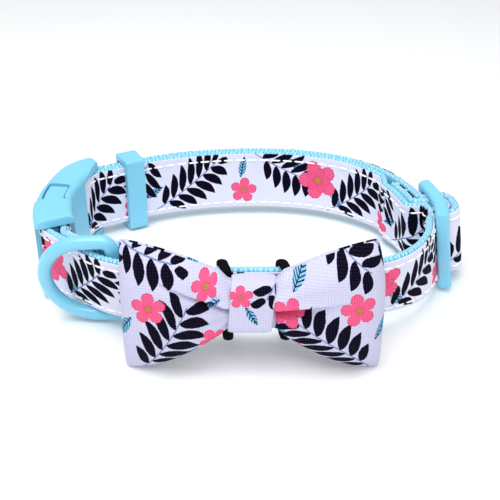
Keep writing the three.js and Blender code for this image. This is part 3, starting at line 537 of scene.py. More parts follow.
slanted = add(group, "ShaderNodeMath", {0: side_squared, 1: LEAF_CURVE, 2: slanted},
              operation="MULTIPLY_ADD")
slanted = add(group, "ShaderNodeMath", {0: upper, 1: LEAF_PITCH / 2, 2: slanted},
              operation="MULTIPLY_ADD")
shifted = add(group, "ShaderNodeMath", {0: slanted, 1: LEAF_PITCH / 2}, operation="ADD")
leaf_at = add(group, "ShaderNodeMath", {0: shifted, 1: LEAF_PITCH}, operation="SNAP")
from_rib = add(group, "ShaderNodeMath", {0: slanted, 1: leaf_at}, operation="SUBTRACT")
from_rib = add(group, "ShaderNodeMath", {0: from_rib}, operation="ABSOLUTE")
share = add(group, "ShaderNodeMath", {0: leaf_at, 1: inlet.outputs["Length"]}, operation="DIVIDE")
rest = add(group, "ShaderNodeMath", {0: 1.0, 1: share}, operation="SUBTRACT")
swell = add(group, "ShaderNodeMath", {0: share, 1: rest}, operation="MULTIPLY")
swell = add(group, "ShaderNodeMath", {0: swell, 1: 4.0}, operation="MULTIPLY")
swell = add(group, "ShaderNodeMath", {0: swell, 1: 0.0}, operation="MAXIMUM")
swell = add(group, "ShaderNodeMath", {0: swell, 1: LEAF_FULLNESS}, operation="POWER")
reach = add(group, "ShaderNodeMath", {0: swell, 1: inlet.outputs["Leaf"]}, operation="MULTIPLY")
reach = add(group, "ShaderNodeMath", {0: reach, 1: 0.001}, operation="ADD")
out = add(group, "ShaderNodeMath", {0: side, 1: reach}, operation="DIVIDE")
out = add(group, "ShaderNodeMath", {0: out, 1: LEAF_POINT}, operation="POWER")
mirrored = add(group, "ShaderNodeMath", {0: out, 1: 2.0, 2: -1.0}, operation="MULTIPLY_ADD")
mirrored = add(group, "ShaderNodeMath", {0: mirrored, 1: mirrored}, operation="MULTIPLY")
width = add(group, "ShaderNodeMath", {0: mirrored, 1: -LEAF_HALF, 2: LEAF_HALF},
            operation="MULTIPLY_ADD")
inside = add(group, "ShaderNodeMath", {0: width, 1: from_rib}, operation="SUBTRACT")
leaves = add(group, "ShaderNodeMath", {0: inside, 1: 1 / SOFT_EDGE}, operation="MULTIPLY",
             use_clamp=True)
thin = add(group, "ShaderNodeMath", {0: side, 1: STEM_HALF}, operation="LESS_THAN")
started = add(group, "ShaderNodeMath", {0: at.outputs[0], 1: -STEM_BEFORE}, operation="GREATER_THAN")
tip = add(group, "ShaderNodeMath", {0: inlet.outputs["Length"], 1: STEM_SHORT}, operation="SUBTRACT")
ended = add(group, "ShaderNodeMath", {0: at.outputs[0], 1: tip}, operation="LESS_THAN")
stem = add(group, "ShaderNodeMath", {0: thin, 1: started}, operation="MULTIPLY")
stem = add(group, "ShaderNodeMath", {0: stem, 1: ended}, operation="MULTIPLY")
add(group, "NodeGroupOutput", {"Leaves": leaves, "Stem": stem})

# Open flower: five round petals with fine veins, and a small stamen at the middle
PETAL_COUNT = 5
PETAL_LOBE = 0.52
PETAL_NOTCH = 0.44
FRILLS = 25.0
FRILL_DEPTH = 0.012
VEINS = 37.0
RIM_WIDTH = 0.3
EYE_SHARE = 0.15
group, inlet = motif_group("flower", ("Radius",), ("Petals", "Depth", "Eye"))
at = local_point(group, inlet)
flat_point = add(group, "ShaderNodeCombineXYZ", {0: at.outputs[0], 1: at.outputs[1]})
radius = add(group, "ShaderNodeVectorMath", {0: flat_point}, operation="LENGTH").outputs["Value"]
angle = add(group, "ShaderNodeMath", {0: at.outputs[1], 1: at.outputs[0]}, operation="ARCTAN2")
lobes = add(group, "ShaderNodeMath", {0: angle, 1: PETAL_COUNT / 2}, operation="MULTIPLY")
lobes = add(group, "ShaderNodeMath", {0: lobes}, operation="COSINE")
lobes = add(group, "ShaderNodeMath", {0: lobes}, operation="ABSOLUTE")
lobes = add(group, "ShaderNodeMath", {0: lobes, 1: 0.5}, operation="POWER")
outline = add(group, "ShaderNodeMath", {0: lobes, 1: PETAL_LOBE, 2: PETAL_NOTCH},
              operation="MULTIPLY_ADD")
frill = add(group, "ShaderNodeMath", {0: angle, 1: FRILLS}, operation="MULTIPLY")
frill = add(group, "ShaderNodeMath", {0: frill}, operation="COSINE")
outline = add(group, "ShaderNodeMath", {0: frill, 1: FRILL_DEPTH, 2: outline},
              operation="MULTIPLY_ADD")
outline = add(group, "ShaderNodeMath", {0: outline, 1: inlet.outputs["Radius"]},
              operation="MULTIPLY")
inside = add(group, "ShaderNodeMath", {0: outline, 1: radius}, operation="SUBTRACT")
petals = add(group, "ShaderNodeMath", {0: inside, 1: 1 / SOFT_EDGE}, operation="MULTIPLY",
             use_clamp=True)
veins = add(group, "ShaderNodeMath", {0: angle, 1: VEINS}, operation="MULTIPLY")
veins = add(group, "ShaderNodeMath", {0: veins}, operation="SINE")
veins = add(group, "ShaderNodeMath", {0: veins, 1: 0.3, 2: 0.12}, operation="MULTIPLY_ADD")
out = add(group, "ShaderNodeMath", {0: radius, 1: outline}, operation="DIVIDE")
inner = add(group, "ShaderNodeMath", {0: out, 1: -1.5, 2: 0.6}, operation="MULTIPLY_ADD",
            use_clamp=True)
depth = add(group, "ShaderNodeMath", {0: veins, 1: inner}, operation="ADD")
rim = add(group, "ShaderNodeMath", {0: inside, 1: RIM_WIDTH}, operation="LESS_THAN")
depth = add(group, "ShaderNodeMath", {0: rim, 1: 0.5, 2: depth}, operation="MULTIPLY_ADD",
            use_clamp=True)
depth = add(group, "ShaderNodeMath", {0: petals, 1: depth}, operation="MULTIPLY")
share = add(group, "ShaderNodeMath", {0: radius, 1: inlet.outputs["Radius"]}, operation="DIVIDE")
eye = add(group, "ShaderNodeMath", {0: share, 1: EYE_SHARE}, operation="LESS_THAN")
add(group, "NodeGroupOutput", {"Petals": petals, "Depth": depth, "Eye": eye})

# Feathered blade: one long pointed leaf, striped on both sides of its rib
STRIPE_SLANT = 1.1
STRIPE_PITCH = 1.1
STRIPE_SHARE = 0.42
BLADE_RIB_HALF = 0.16
group, inlet = motif_group("blade", ("Length", "Width"), ("Leaf", "Stripe"))
at = local_point(group, inlet)
share = add(group, "ShaderNodeMath", {0: at.outputs[0], 1: inlet.outputs["Length"]}, operation="DIVIDE")
mirrored = add(group, "ShaderNodeMath", {0: share, 1: 2.0, 2: -1.0}, operation="MULTIPLY_ADD")
mirrored = add(group, "ShaderNodeMath", {0: mirrored, 1: mirrored}, operation="MULTIPLY")
width = add(group, "ShaderNodeMath", {0: 1.0, 1: mirrored}, operation="SUBTRACT")
width = add(group, "ShaderNodeMath", {0: width, 1: inlet.outputs["Width"]}, operation="MULTIPLY")
side = add(group, "ShaderNodeMath", {0: at.outputs[1]}, operation="ABSOLUTE")
inside = add(group, "ShaderNodeMath", {0: width, 1: side}, operation="SUBTRACT")
leaf = add(group, "ShaderNodeMath", {0: inside, 1: 1 / SOFT_EDGE}, operation="MULTIPLY", use_clamp=True)
slanted = add(group, "ShaderNodeMath", {0: side, 1: -STRIPE_SLANT, 2: at.outputs[0]},
              operation="MULTIPLY_ADD")
stripe = add(group, "ShaderNodeMath", {0: slanted, 1: STRIPE_PITCH}, operation="DIVIDE")
stripe = add(group, "ShaderNodeMath", {0: stripe}, operation="FRACT")
stripe = add(group, "ShaderNodeMath", {0: stripe, 1: STRIPE_SHARE}, operation="LESS_THAN")
middle_rib = add(group, "ShaderNodeMath", {0: side, 1: BLADE_RIB_HALF}, operation="LESS_THAN")
stripe = add(group, "ShaderNodeMath", {0: stripe, 1: middle_rib}, operation="MAXIMUM")
stripe = add(group, "ShaderNodeMath", {0: leaf, 1: stripe}, operation="MULTIPLY")
add(group, "NodeGroupOutput", {"Leaf": leaf, "Stripe": stripe})


WAVER = 0.3


def print_colour(tree, ground, tile, fronds, flowers, blades):
    """Colour of a print from short tables of its motifs, with places in millimetres. It
    also gives the point on the cloth that the print is read at."""
    uv = add(tree, "ShaderNodeUVMap", uv_map="cloth")
    point = add(tree, "ShaderNodeVectorMath", {0: uv, 1: (1 / MM, 1 / MM, 0)}, operation="MULTIPLY")
    # A printed edge wavers a little with the cloth's threads
    waver = add(tree, "ShaderNodeTexNoise", {"Vector": point, "Scale": 1.3, "Detail": 2.0})
    waver = add(tree, "ShaderNodeVectorMath", {0: waver.outputs["Color"], 1: (0.5, 0.5, 0.5)},
                operation="SUBTRACT")
    waver = add(tree, "ShaderNodeVectorMath", {0: waver, "Scale": WAVER}, operation="SCALE")
    point = add(tree, "ShaderNodeVectorMath", {0: point, 1: waver}, operation="ADD")
    made = {}
    for kind, rows, names in (
            ("frond", fronds, ("Length", "Leaf")),
            ("flower", flowers, ("Radius",)),
            ("blade", blades, ("Length", "Width"))):
        for x, y, turn, *sizes in rows:
            motif = add(tree, "ShaderNodeGroup", node_tree=bpy.data.node_groups[kind])
            tree.links.new(point.outputs[0], motif.inputs["Point"])
            motif.inputs["Place"].default_value = (x, y, 0)
            motif.inputs["Tile"].default_value = (*tile, 10)
            motif.inputs["Turn"].default_value = math.radians(turn)
            for name, size in zip(names, sizes):
                motif.inputs[name].default_value = size
            for result in motif.outputs:
                if result.name in made:
                    stronger = add(tree, "ShaderNodeMath", {0: made[result.name], 1: result},
                                   operation="MAXIMUM")
                    made[result.name] = stronger.outputs[0]
                else:
                    made[result.name] = result
    colour = srgb(ground)
    for result, code in (
            ("Leaf", BLADE_BLUE), ("Stripe", BLADE_DARK), ("Stem", STEM_BLUE), ("Leaves", LEAF_BLACK),
            ("Petals", PETAL), ("Depth", PETAL_DEEP), ("Eye", EYE)):
        colour = add(tree, "ShaderNodeMix", {0: made[result], 6: colour, 7: srgb(code)},
                     data_type="RGBA").outputs[2]
    return colour, point


# The ribbon's print repeats every 92 mm along it, and its tile is wider than the ribbon
RIBBON_TILE = (92, 60)
RIBBON_FRONDS = [
    # x, y, turn, length, leaf
    (2, -7, 26, 26, 8.4), (36, 9, -32, 22, 8.2), (62, -8, 32, 23, 8.0), (91, 11, -112, 14, 7.0),
]
RIBBON_FLOWERS = [
    # x, y, turn, radius
    (31, -3.5, 10, 4.8), (57, 1.5, 40, 7.2), (57, 1.5, 4, 4.8), (85, -5.5, 0, 4.4),
]
RIBBON_BLADES = [
    # x, y, turn, length, half width
    (61, -1, -50, 9, 1.5), (53, 4, 150, 9, 1.4), (30, 1, 80, 8, 1.3), (88, -3, 24, 8, 1.3),
]

ribbon_print, tree = new_material("printed_polyester_ribbon")
# Close, smooth weave of threads 0.3 mm apart: matt and clear, as the print lies in the yarn
colour, point = print_colour(
    tree, RIBBON_GROUND, RIBBON_TILE, RIBBON_FRONDS, RIBBON_FLOWERS, RIBBON_BLADES)
thread = add(tree, "ShaderNodeTexWave", {"Vector": point, "Scale": 1.1, "Distortion": 0.4},
             wave_type="BANDS", bands_direction="X")
thread_relief = add(tree, "ShaderNodeBump", {"Height": thread, "Strength": 0.12, "Distance": 0.0001})
shader = add(tree, "ShaderNodeBsdfPrincipled", {
    "Base Color": colour, "Roughness": 0.8, "Specular IOR Level": 0.06, "Normal": thread_relief})
add(tree, "ShaderNodeOutputMaterial", {"Surface": shader})

STITCH_ROWS = (7.4, -8.0)
STITCH_PITCH = 4.0
PUCKER_DEPTH = 0.09
PUCKER_REACH = 0.5
RIBBON_STEP = 0.8
RIBBON_EDGE = 0.16


def puckered(d, h, w):
    """The ribbon is drawn down a little along each line of stitches."""
    down = sum(np.exp(-((w - row) / PUCKER_REACH) ** 2) for row in STITCH_ROWS)
    pulled = down * (0.7 + 0.3 * np.cos(2 * np.pi * d / STITCH_PITCH))
    printed_face = h > HALF_WEBBING + RIBBON_GAP + 0.2
    return np.where(printed_face, -PUCKER_DEPTH * pulled, 0.0), 0 * d


ribbon_outline = rounded_section(
    HALF_WEBBING + RIBBON_GAP, TO_PRINT, RIBBON_WIDTH / 2, RIBBON_EDGE, 40, 2)
ribbon = band_mesh("ribbon_print", RIBBON_STEP, ribbon_outline, puckered)
ribbon.data.materials.append(ribbon_print)
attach(ribbon, "collar")
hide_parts("printed_ribbon")

# Stitches. Two lines of white polyester lockstitch hold the ribbon down, one along each
# edge, about 3.2 mm showing and 0.8 mm sunk between.
STITCH_SHOWN = 3.2
STITCH_RADIUS = 0.3
STITCH_SUNK = 0.14
STITCH_RISE = 0.16
STITCH_CUTS = (-0.42, -0.3, 0.0, 0.3, 0.42)
THREAD_WHITE = "#ffffff"

white_thread, tree = new_material("polyester_sewing_thread")
# Twisted filament: bright white with a fine grain, 0.3 mm, and a soft shine
ply = add(tree, "ShaderNodeTexCoord")
ply = add(tree, "ShaderNodeTexNoise", {"Vector": ply.outputs["Object"], "Scale": 3000.0})
ply = add(tree, "ShaderNodeBump", {"Height": ply, "Strength": 0.3, "Distance": 0.0002})
shader = add(tree, "ShaderNodeBsdfPrincipled", {
    "Base Color": srgb(THREAD_WHITE), "Roughness": 0.5, "Sheen Weight": 0.2, "Normal": ply})
add(tree, "ShaderNodeOutputMaterial", {"Surface": shader})

bpy.ops.object.select_all(action="DESELECT")
bpy.ops.mesh.primitive_cylinder_add(vertices=6, radius=STITCH_RADIUS, depth=STITCH_SHOWN)
stitch = bpy.context.object
bpy.ops.object.mode_set(mode="EDIT")
for cut in STITCH_CUTS:
    bpy.ops.mesh.select_all(action="SELECT")
    bpy.ops.mesh.bisect(plane_co=(0, 0, cut * STITCH_SHOWN), plane_no=(0, 0, 1))
bpy.ops.object.mode_set(mode="OBJECT")
template = np.array([tuple(v.co) for v in stitch.data.vertices])
faces = [tuple(p.vertices) for p in stitch.data.polygons]
bpy.data.objects.remove(stitch)
# A stitch grows thin and sinks into the ribbon towards its two ends
full = np.clip((0.5 - np.abs(template[:, 2]) / STITCH_SHOWN) / 0.14, 0, 1)
thin = 0.45 + 0.55 * full
above_webbing = TO_PRINT - STITCH_SUNK + STITCH_RISE * full + template[:, 0] * thin
all_points, all_faces = [], []
for row in STITCH_ROWS:
    for start in np.arange(STITCH_PITCH / 2, BAND_LENGTH - STITCH_PITCH / 2, STITCH_PITCH):
        points = strap_point(start + template[:, 2], above_webbing, row + template[:, 1] * thin)
        all_faces += [tuple(i + len(all_points) * len(template) for i in face) for face in faces]
        all_points.append(points)
stitch_mesh = bpy.data.meshes.new("edge_stitches")
stitch_mesh.from_pydata([tuple(p) for p in np.concatenate(all_points) * MM], [], all_faces)
stitch_mesh.materials.append(white_thread)
stitches = bpy.data.objects.new("edge_stitches", stitch_mesh)
bpy.context.collection.objects.link(stitches)


def work_on(piece):
    """Makes this piece the only one selected, and the active one."""
    bpy.ops.object.select_all(action="DESELECT")
    piece.select_set(True)
    bpy.context.view_layer.objects.active = piece


work_on(stitches)
turn_outward()
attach(stitches, "collar")

# Buckle, keeper and slider. Injection-moulded acetal in the strap's turquoise, with
# softly rounded edges. The strap folds round the bars of the buckle and the slider, and
# runs through the keeper.
BUCKLE_ROUNDING = 0.35
BAND_ROUNDING = 0.3
PLASTIC_DEEP = "#78c7e4"
PLASTIC_PALE = "#83cfeb"

moulded_plastic, tree = new_material("moulded_acetal")
# Acetal as it leaves the mould: satin, a little translucent, clouded in 17 mm drifts where
# the melt flowed, with a fine skin from the tool
coordinates = add(tree, "ShaderNodeTexCoord")
flow = add(tree, "ShaderNodeTexNoise", {
    "Vector": coordinates.outputs["Object"], "Scale": 60.0, "Detail": 2.0})
colour = add(tree, "ShaderNodeMix", {0: flow, 6: srgb(PLASTIC_DEEP), 7: srgb(PLASTIC_PALE)},
             data_type="RGBA")
skin = add(tree, "ShaderNodeTexNoise", {
    "Vector": coordinates.outputs["Object"], "Scale": 2500.0, "Detail": 1.0})
skin = add(tree, "ShaderNodeBump", {"Height": skin, "Strength": 0.05, "Distance": 0.00005})
shader = add(tree, "ShaderNodeBsdfPrincipled", {
    "Base Color": colour.outputs[2], "Roughness": 0.4, "IOR": 1.48, "Specular IOR Level": 0.65,
    "Subsurface Weight": 0.12, "Subsurface Radius": (0.001, 0.002, 0.002), "Normal": skin})
add(tree, "ShaderNodeOutputMaterial", {"Surface": shader})


def moulded(node_name, name, edge):
    """A copy of a CAD node with its triangles joined and its edges rounded."""
    piece = bpy.data.objects.new(name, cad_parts[node_name].data.copy())
    bpy.context.collection.objects.link(piece)
    piece.data.materials.clear()
    piece.data.materials.append(moulded_plastic)
    work_on(piece)
    bpy.ops.object.mode_set(mode="EDIT")
    bpy.ops.mesh.select_all(action="SELECT")
    bpy.ops.mesh.remove_doubles(threshold=0.000005)
    bpy.ops.mesh.dissolve_limited(angle_limit=math.radians(1.5))
    bpy.ops.object.mode_set(mode="OBJECT")
    bevel = piece.modifiers.new("edges", "BEVEL")
    bevel.width = edge * MM
    bevel.segments = 3
    bevel.limit_method = "ANGLE"
    bevel.angle_limit = math.radians(32)
    bpy.ops.object.modifier_apply(modifier=bevel.name)
    bpy.ops.object.shade_smooth_by_angle(angle=math.radians(40))
    weighted = piece.modifiers.new("even_shading", "WEIGHTED_NORMAL")
    weighted.keep_sharp = True
    bpy.ops.object.modifier_apply(modifier=weighted.name)
    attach(piece, "collar")
    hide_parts(node_name)


moulded("buckle_female", "buckle_socket_half", BUCKLE_ROUNDING)
moulded("buckle_male", "buckle_prong_half", BUCKLE_ROUNDING)
moulded("keeper", "strap_keeper", BAND_ROUNDING)
moulded("slider", "strap_slider", BAND_ROUNDING)

# Ring for the lead. Round steel wire bent to a D, welded at its bar and powder coated
# in the same turquoise; the bar lies in a fold of the strap.
RING_INNER_WIDTH = 21.4
RING_SIDE = 7.3
RING_CORNER = 2.3
RING_SWING = 24
RING_COAT = "#7ccae7"

coated_steel, tree = new_material("powder_coated_steel")
# Thick smooth coat: even colour, soft bright highlights and a faint peel 1.4 mm wide
coordinates = add(tree, "ShaderNodeTexCoord")
peel = add(tree, "ShaderNodeTexNoise", {
    "Vector": coordinates.outputs["Object"], "Scale": 700.0, "Detail": 1.0})
peel = add(tree, "ShaderNodeBump", {"Height": peel, "Strength": 0.06, "Distance": 0.0002})
shader = add(tree, "ShaderNodeBsdfPrincipled", {
    "Base Color": srgb(RING_COAT), "Roughness": 0.3, "IOR": 1.5, "Coat Weight": 0.5,
    "Coat Roughness": 0.1, "Normal": peel})
add(tree, "ShaderNodeOutputMaterial", {"Surface": shader})

half = (RING_INNER_WIDTH + RING_WIRE) / 2
bpy.ops.object.select_all(action="DESELECT")
bpy.ops.mesh.primitive_circle_add(
    vertices=28, radius=RING_WIRE / 2 * MM, location=(0, (RING_CORNER - half) * MM, 0),
    rotation=(math.radians(90), 0, 0))
ring = bpy.context.object
ring.name = "lead_ring_wire"
bpy.ops.object.transform_apply(location=True, rotation=True, scale=True)
bpy.ops.object.mode_set(mode="EDIT")
bpy.ops.mesh.select_all(action="SELECT")
# Along the D's bar, round a corner, up its side, round its end, and the same way back
straight = (half - RING_CORNER) * MM
corner_at = RING_CORNER * MM
side_at = RING_SIDE * MM
side_run = (RING_SIDE - RING_CORNER) * MM
quarter = math.radians(90)
bpy.ops.mesh.extrude_region_move(TRANSFORM_OT_translate={"value": (0, 2 * straight, 0)})
bpy.ops.mesh.spin(steps=8, angle=quarter, center=(corner_at, straight, 0), axis=(0, 0, 1))
bpy.ops.mesh.extrude_region_move(TRANSFORM_OT_translate={"value": (side_run, 0, 0)})
bpy.ops.mesh.spin(steps=48, angle=2 * quarter, center=(side_at, 0, 0), axis=(0, 0, 1))
bpy.ops.mesh.extrude_region_move(TRANSFORM_OT_translate={"value": (-side_run, 0, 0)})
bpy.ops.mesh.spin(steps=8, angle=quarter, center=(corner_at, -straight, 0), axis=(0, 0, 1))
bpy.ops.mesh.select_all(action="SELECT")
bpy.ops.mesh.remove_doubles(threshold=0.00001)
bpy.ops.mesh.normals_make_consistent(inside=False)
bpy.ops.object.mode_set(mode="OBJECT")
bpy.ops.object.shade_smooth()
_, along, outward, across = (Vector(v) for v in strap_frame(RING_S))
swing = math.radians(RING_SWING)
reach_out = -along * math.cos(swing) + outward * math.sin(swing)
ring_axes = Matrix((reach_out, across, reach_out.cross(across))).transposed().to_4x4()
ring_at = Matrix.Translation(Vector(place(RING_S, RING_O, 0)) * MM)
ring.data.transform(ring_at @ ring_axes)
ring.data.materials.append(coated_steel)
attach(ring, "lead_ring")
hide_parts("d_ring")

# Bow. A folded band of printed polyester, pinched to pleats at its middle, so that each
# wing stands open; the fold above the right pleat laps over the one below.
CLOTH_WALL = 0.7
BOW_LIP = 0.5
BOW_LEFT = 32.0
BOW_RIGHT = 32.6
BOW_TOP = 16.4
BOW_BOTTOM = 19.1
BOW_SWEEP = 2.0
BOW_TILT = 3.4
BOW_PUFF_FRONT = 4.0
BOW_PUFF_BACK = 2.2
BOW_LEFT_INSET = 0.8
BOW_RIGHT_INSET = 2.6
BOW_LOW_INSET = 0.4
KNOT_WIDTH = 10.2
KNOT_HEIGHT = 14.6
KNOT_DEPTH = 7.8
KNOT_WALL = 0.75
KNOT_SKEW = 0.5
KNOT_RADIUS = 2.6
PINCH = KNOT_WIDTH / 2 / BOW_RIGHT
KNOT_BACK = OUTER + TO_PRINT + CLEARANCE
KNOT_ROOM = KNOT_HEIGHT / 2 - KNOT_WALL - 0.15
SQUEEZE = KNOT_DEPTH / 2 - KNOT_WALL - CLEARANCE - CLOTH_WALL / 2
OPENS_OVER = 0.1
TOP_AT_KNOT = 0.46
TOP_FULLNESS = 1.1
BOTTOM_AT_KNOT = 0.33
PUFF_FULL = 0.62
BOW_RAISED = 0.2
BOW_RIM = 0.35
BOW_GROUND = "#cccbe3"
# Painted shade for the gaps between threads, and painted highlight for the threads' crowns
THREAD_GAP_PAINTED_SHADE = "#dadaf0"
THREAD_CROWN_PAINTED_HIGHLIGHT = "#c4c0dc"
PLEATS = [
    # side, height at the knot, rise, run, depth, lap, pocket
    (-1, 0.5, 0.44, 11.0, 2.4, 0.5, 1.2),
    (1, 1.2, 0.08, 9.5, 4.1, 0.65, 2.2),
]
CREASE_HALF = 0.2
LAP_FADES = 4.0
LAP_DROPS = 0.2
RIPPLE = 0.35
RIPPLE_FADES = 14


def smooth(low, high, x):
    """Runs from 0 at low to 1 at high, level at both."""
    t = np.clip((x - low) / (high - low), 0, 1)
    return t * t * (3 - 2 * t)


def pleats(x, z, share):
    """How far the front of the bow stands out and drops at its creases. Each crease runs
    from the knot: the cloth above it laps forward and down over the cloth below it."""
    out, drop = np.zeros_like(x), np.zeros_like(x)
    for sign, z_knot, rise, run, depth, lap, pocket in PLEATS:
        away = np.clip(sign * x - KNOT_WIDTH / 2, 0, None)
        above = z - z_knot - rise * away
        past_knot = (sign * x > 0) * smooth(PINCH - 0.02, PINCH + 0.04, share)
        strength = depth * np.exp(-(away / run) ** 2) * past_knot
        step = smooth(-CREASE_HALF, CREASE_HALF, above)
        upper = np.exp(-np.clip(above, 0, None) / LAP_FADES)
        lower = 1 - smooth(pocket, 2.2 * pocket, -above)
        out += strength * (lap * step * upper - (1 - step) * lower)
        drop += strength * LAP_DROPS * (step * upper ** 3 - (1 - step) * lower)
    # Low ripples fan out from the knot and die away towards the ends
    ripple = np.sin(z / np.maximum(np.abs(x), 3) * 15 + np.sign(x))
    fading = np.exp(-np.abs(x) / RIPPLE_FADES)
    out += RIPPLE * ripple * fading * smooth(PINCH, PINCH + 0.1, share)
    return out, drop


def bow_surface(turn, v):
    """Point of the cloth at an angle round the folded band and a height v, -1 to 1."""
    along = np.cos(turn)
    share = np.abs(along)
    front = np.sin(turn) < 0
    opened = smooth(PINCH, PINCH + OPENS_OVER, share)
    grow = np.clip((share - PINCH) / (1 - PINCH), 0, None)
    top = BOW_TOP * (TOP_AT_KNOT + (1 - TOP_AT_KNOT) * grow) + TOP_FULLNESS * np.sin(np.pi * grow)
    top = KNOT_ROOM + (top - KNOT_ROOM) * opened
    low_share = BOTTOM_AT_KNOT + (1 - BOTTOM_AT_KNOT) * np.sin(grow * np.pi / 2)
    bottom = KNOT_ROOM + (BOW_BOTTOM * low_share - KNOT_ROOM) * opened
    height = v * np.where(v > 0, top, bottom)
    reach = np.where(along < 0, BOW_LEFT, BOW_RIGHT)
    top_inset = np.where(along < 0, BOW_LEFT_INSET, BOW_RIGHT_INSET)
    inset = np.where(v > 0, top_inset * v ** 2, BOW_LOW_INSET * v ** 6)
    x = (reach - inset * grow) * along
    rise = smooth(PINCH, PUFF_FULL, share)
    out, drop = pleats(x, height, share)
    front_puff = BOW_PUFF_FRONT - (SQUEEZE - BOW_LIP) * 0.4
    puff = np.where(front, front_puff, BOW_PUFF_BACK - SQUEEZE + BOW_LIP)
    inner = SQUEEZE - BOW_LIP + puff * rise + np.where(front, out, 0)
    depth = (BOW_LIP + inner * (1 - v ** 4)) * np.sqrt(np.clip(1 - share ** 10, 0, None))
    y = BOW_SWEEP * share ** 2 + np.where(front, -depth, depth)
    return np.stack([x, y, height - np.where(front, drop, 0)], -1)


BOW_AROUND = 340
BOW_UP = 124
TRIAL_TURNS = 2000
bow, flat = new_grid("bow_cloth", BOW_AROUND, BOW_UP)
# Columns lie evenly along the cloth, so they are spread by the ring's own length
turns = np.linspace(0, 2 * np.pi, TRIAL_TURNS)
ring_lengths = lengths_along(bow_surface(turns, np.zeros_like(turns)))
share_round = (flat[:, 0] + 1) / 2
turn = np.interp(share_round * ring_lengths[-1], ring_lengths, turns)
# Rows lie closer at mid height, where the creases are
v = flat[:, 1] * (0.6 + 0.4 * flat[:, 1] ** 2)
points = bow_surface(turn, v)
front_start = np.interp(1.5 * np.pi, turns, ring_lengths)
cloth_u = share_round * ring_lengths[-1] - front_start
keep_cloth_places(bow.data, np.stack([cloth_u, points[:, 2]], 1))

# The bow hangs in front of the strap with its lower edge where the CAD bow's is
bow_box = np.array([tuple(corner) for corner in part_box("bow_body")]) / MM
strap_top = place(0, KNOT_BACK, HALF_STRAP)
tilt = np.array(Matrix.Rotation(-math.radians(BOW_TILT), 3, "X"))
bow_at = np.array([strap_top[0], strap_top[1] - KNOT_DEPTH / 2 - CLEARANCE, 0])
bow_at[2] = bow_box[0][2] + BOW_RAISED - (points @ tilt.T)[:, 2].min()
bow.data.vertices.foreach_set("co", ((points @ tilt.T + bow_at) * MM).ravel())


def make_cloth_ring(piece, thickness, offset, rim_width, rim_steps):
    """Joins the two ends of the active grid, gives it a wall and rounds its two rims."""
    bpy.ops.object.mode_set(mode="EDIT")
    bpy.ops.mesh.select_all(action="SELECT")
    bpy.ops.mesh.remove_doubles(threshold=0.00002)
    turn_outward()
    wall = piece.modifiers.new("wall", "SOLIDIFY")
    wall.thickness = thickness * MM
    wall.offset = offset
    bpy.ops.object.modifier_apply(modifier=wall.name)
    rim = piece.modifiers.new("rim", "BEVEL")
    rim.width = rim_width * MM
    rim.segments = rim_steps
    rim.limit_method = "ANGLE"
    rim.angle_limit = math.radians(55)
    bpy.ops.object.modifier_apply(modifier=rim.name)
    bpy.ops.object.shade_smooth()


make_cloth_ring(bow, CLOTH_WALL, 0, BOW_RIM, 2)

THREADS_APART = 0.7
# Strengths of the painted shade in the thread gaps and the painted highlight on the crowns
GAP_PAINTED_SHADE_STRENGTH = 0.55
CROWN_PAINTED_HIGHLIGHT_STRENGTH = 0.025


def cloth_material(name, tile, fronds, flowers, blades):
    """Plain-weave polyester with a transfer print: matt, with a fine grid of threads, their
    gaps darkened by painted shade and their crowns paled by painted highlight."""
    material, tree = new_material(name)
    colour, _ = print_colour(tree, BOW_GROUND, tile, fronds, flowers, blades)
    uv = add(tree, "ShaderNodeUVMap", uv_map="cloth")
    # Threads 0.5 mm apart, drawn 0.7 mm apart so that they show
    half_wave_a_thread = (math.pi / THREADS_APART / MM,) * 3
    threads = add(tree, "ShaderNodeVectorMath", {0: uv, 1: half_wave_a_thread}, operation="MULTIPLY")
    threads = add(tree, "ShaderNodeVectorMath", {0: threads}, operation="SINE")
    threads = add(tree, "ShaderNodeVectorMath", {0: threads}, operation="ABSOLUTE")
    split = add(tree, "ShaderNodeSeparateXYZ", {0: threads})
    weave = add(tree, "ShaderNodeMath", {0: split.outputs[0], 1: split.outputs[1]}, operation="MULTIPLY")
    # Painted shade: the gaps between the threads are darkened
    painted_gap_shade = add(tree, "ShaderNodeMapRange", {
        "Value": weave, "From Min": 0.35, "From Max": 0.0, "To Max": GAP_PAINTED_SHADE_STRENGTH})
    colour = add(tree, "ShaderNodeMix", {0: painted_gap_shade.outputs[0], 6: colour, 7: srgb(THREAD_GAP_PAINTED_SHADE)},
                 data_type="RGBA", blend_type="MULTIPLY")
    # Painted highlight: the threads' crowns are paled
    painted_crown_highlight = add(tree, "ShaderNodeMapRange", {
        "Value": weave, "From Min": 0.6, "From Max": 1.0, "To Max": CROWN_PAINTED_HIGHLIGHT_STRENGTH})
    colour = add(tree, "ShaderNodeMix", {0: painted_crown_highlight.outputs[0], 6: colour.outputs[2], 7: srgb(THREAD_CROWN_PAINTED_HIGHLIGHT)},
                 data_type="RGBA")
    relief = add(tree, "ShaderNodeBump", {"Height": weave, "Strength": 0.6, "Distance": 0.00015})
    shader = add(tree, "ShaderNodeBsdfPrincipled", {
        "Base Color": colour.outputs[2], "Roughness": 0.8, "Specular IOR Level": 0.06, "Normal": relief})
    add(tree, "ShaderNodeOutputMaterial", {"Surface": shader})
    return material


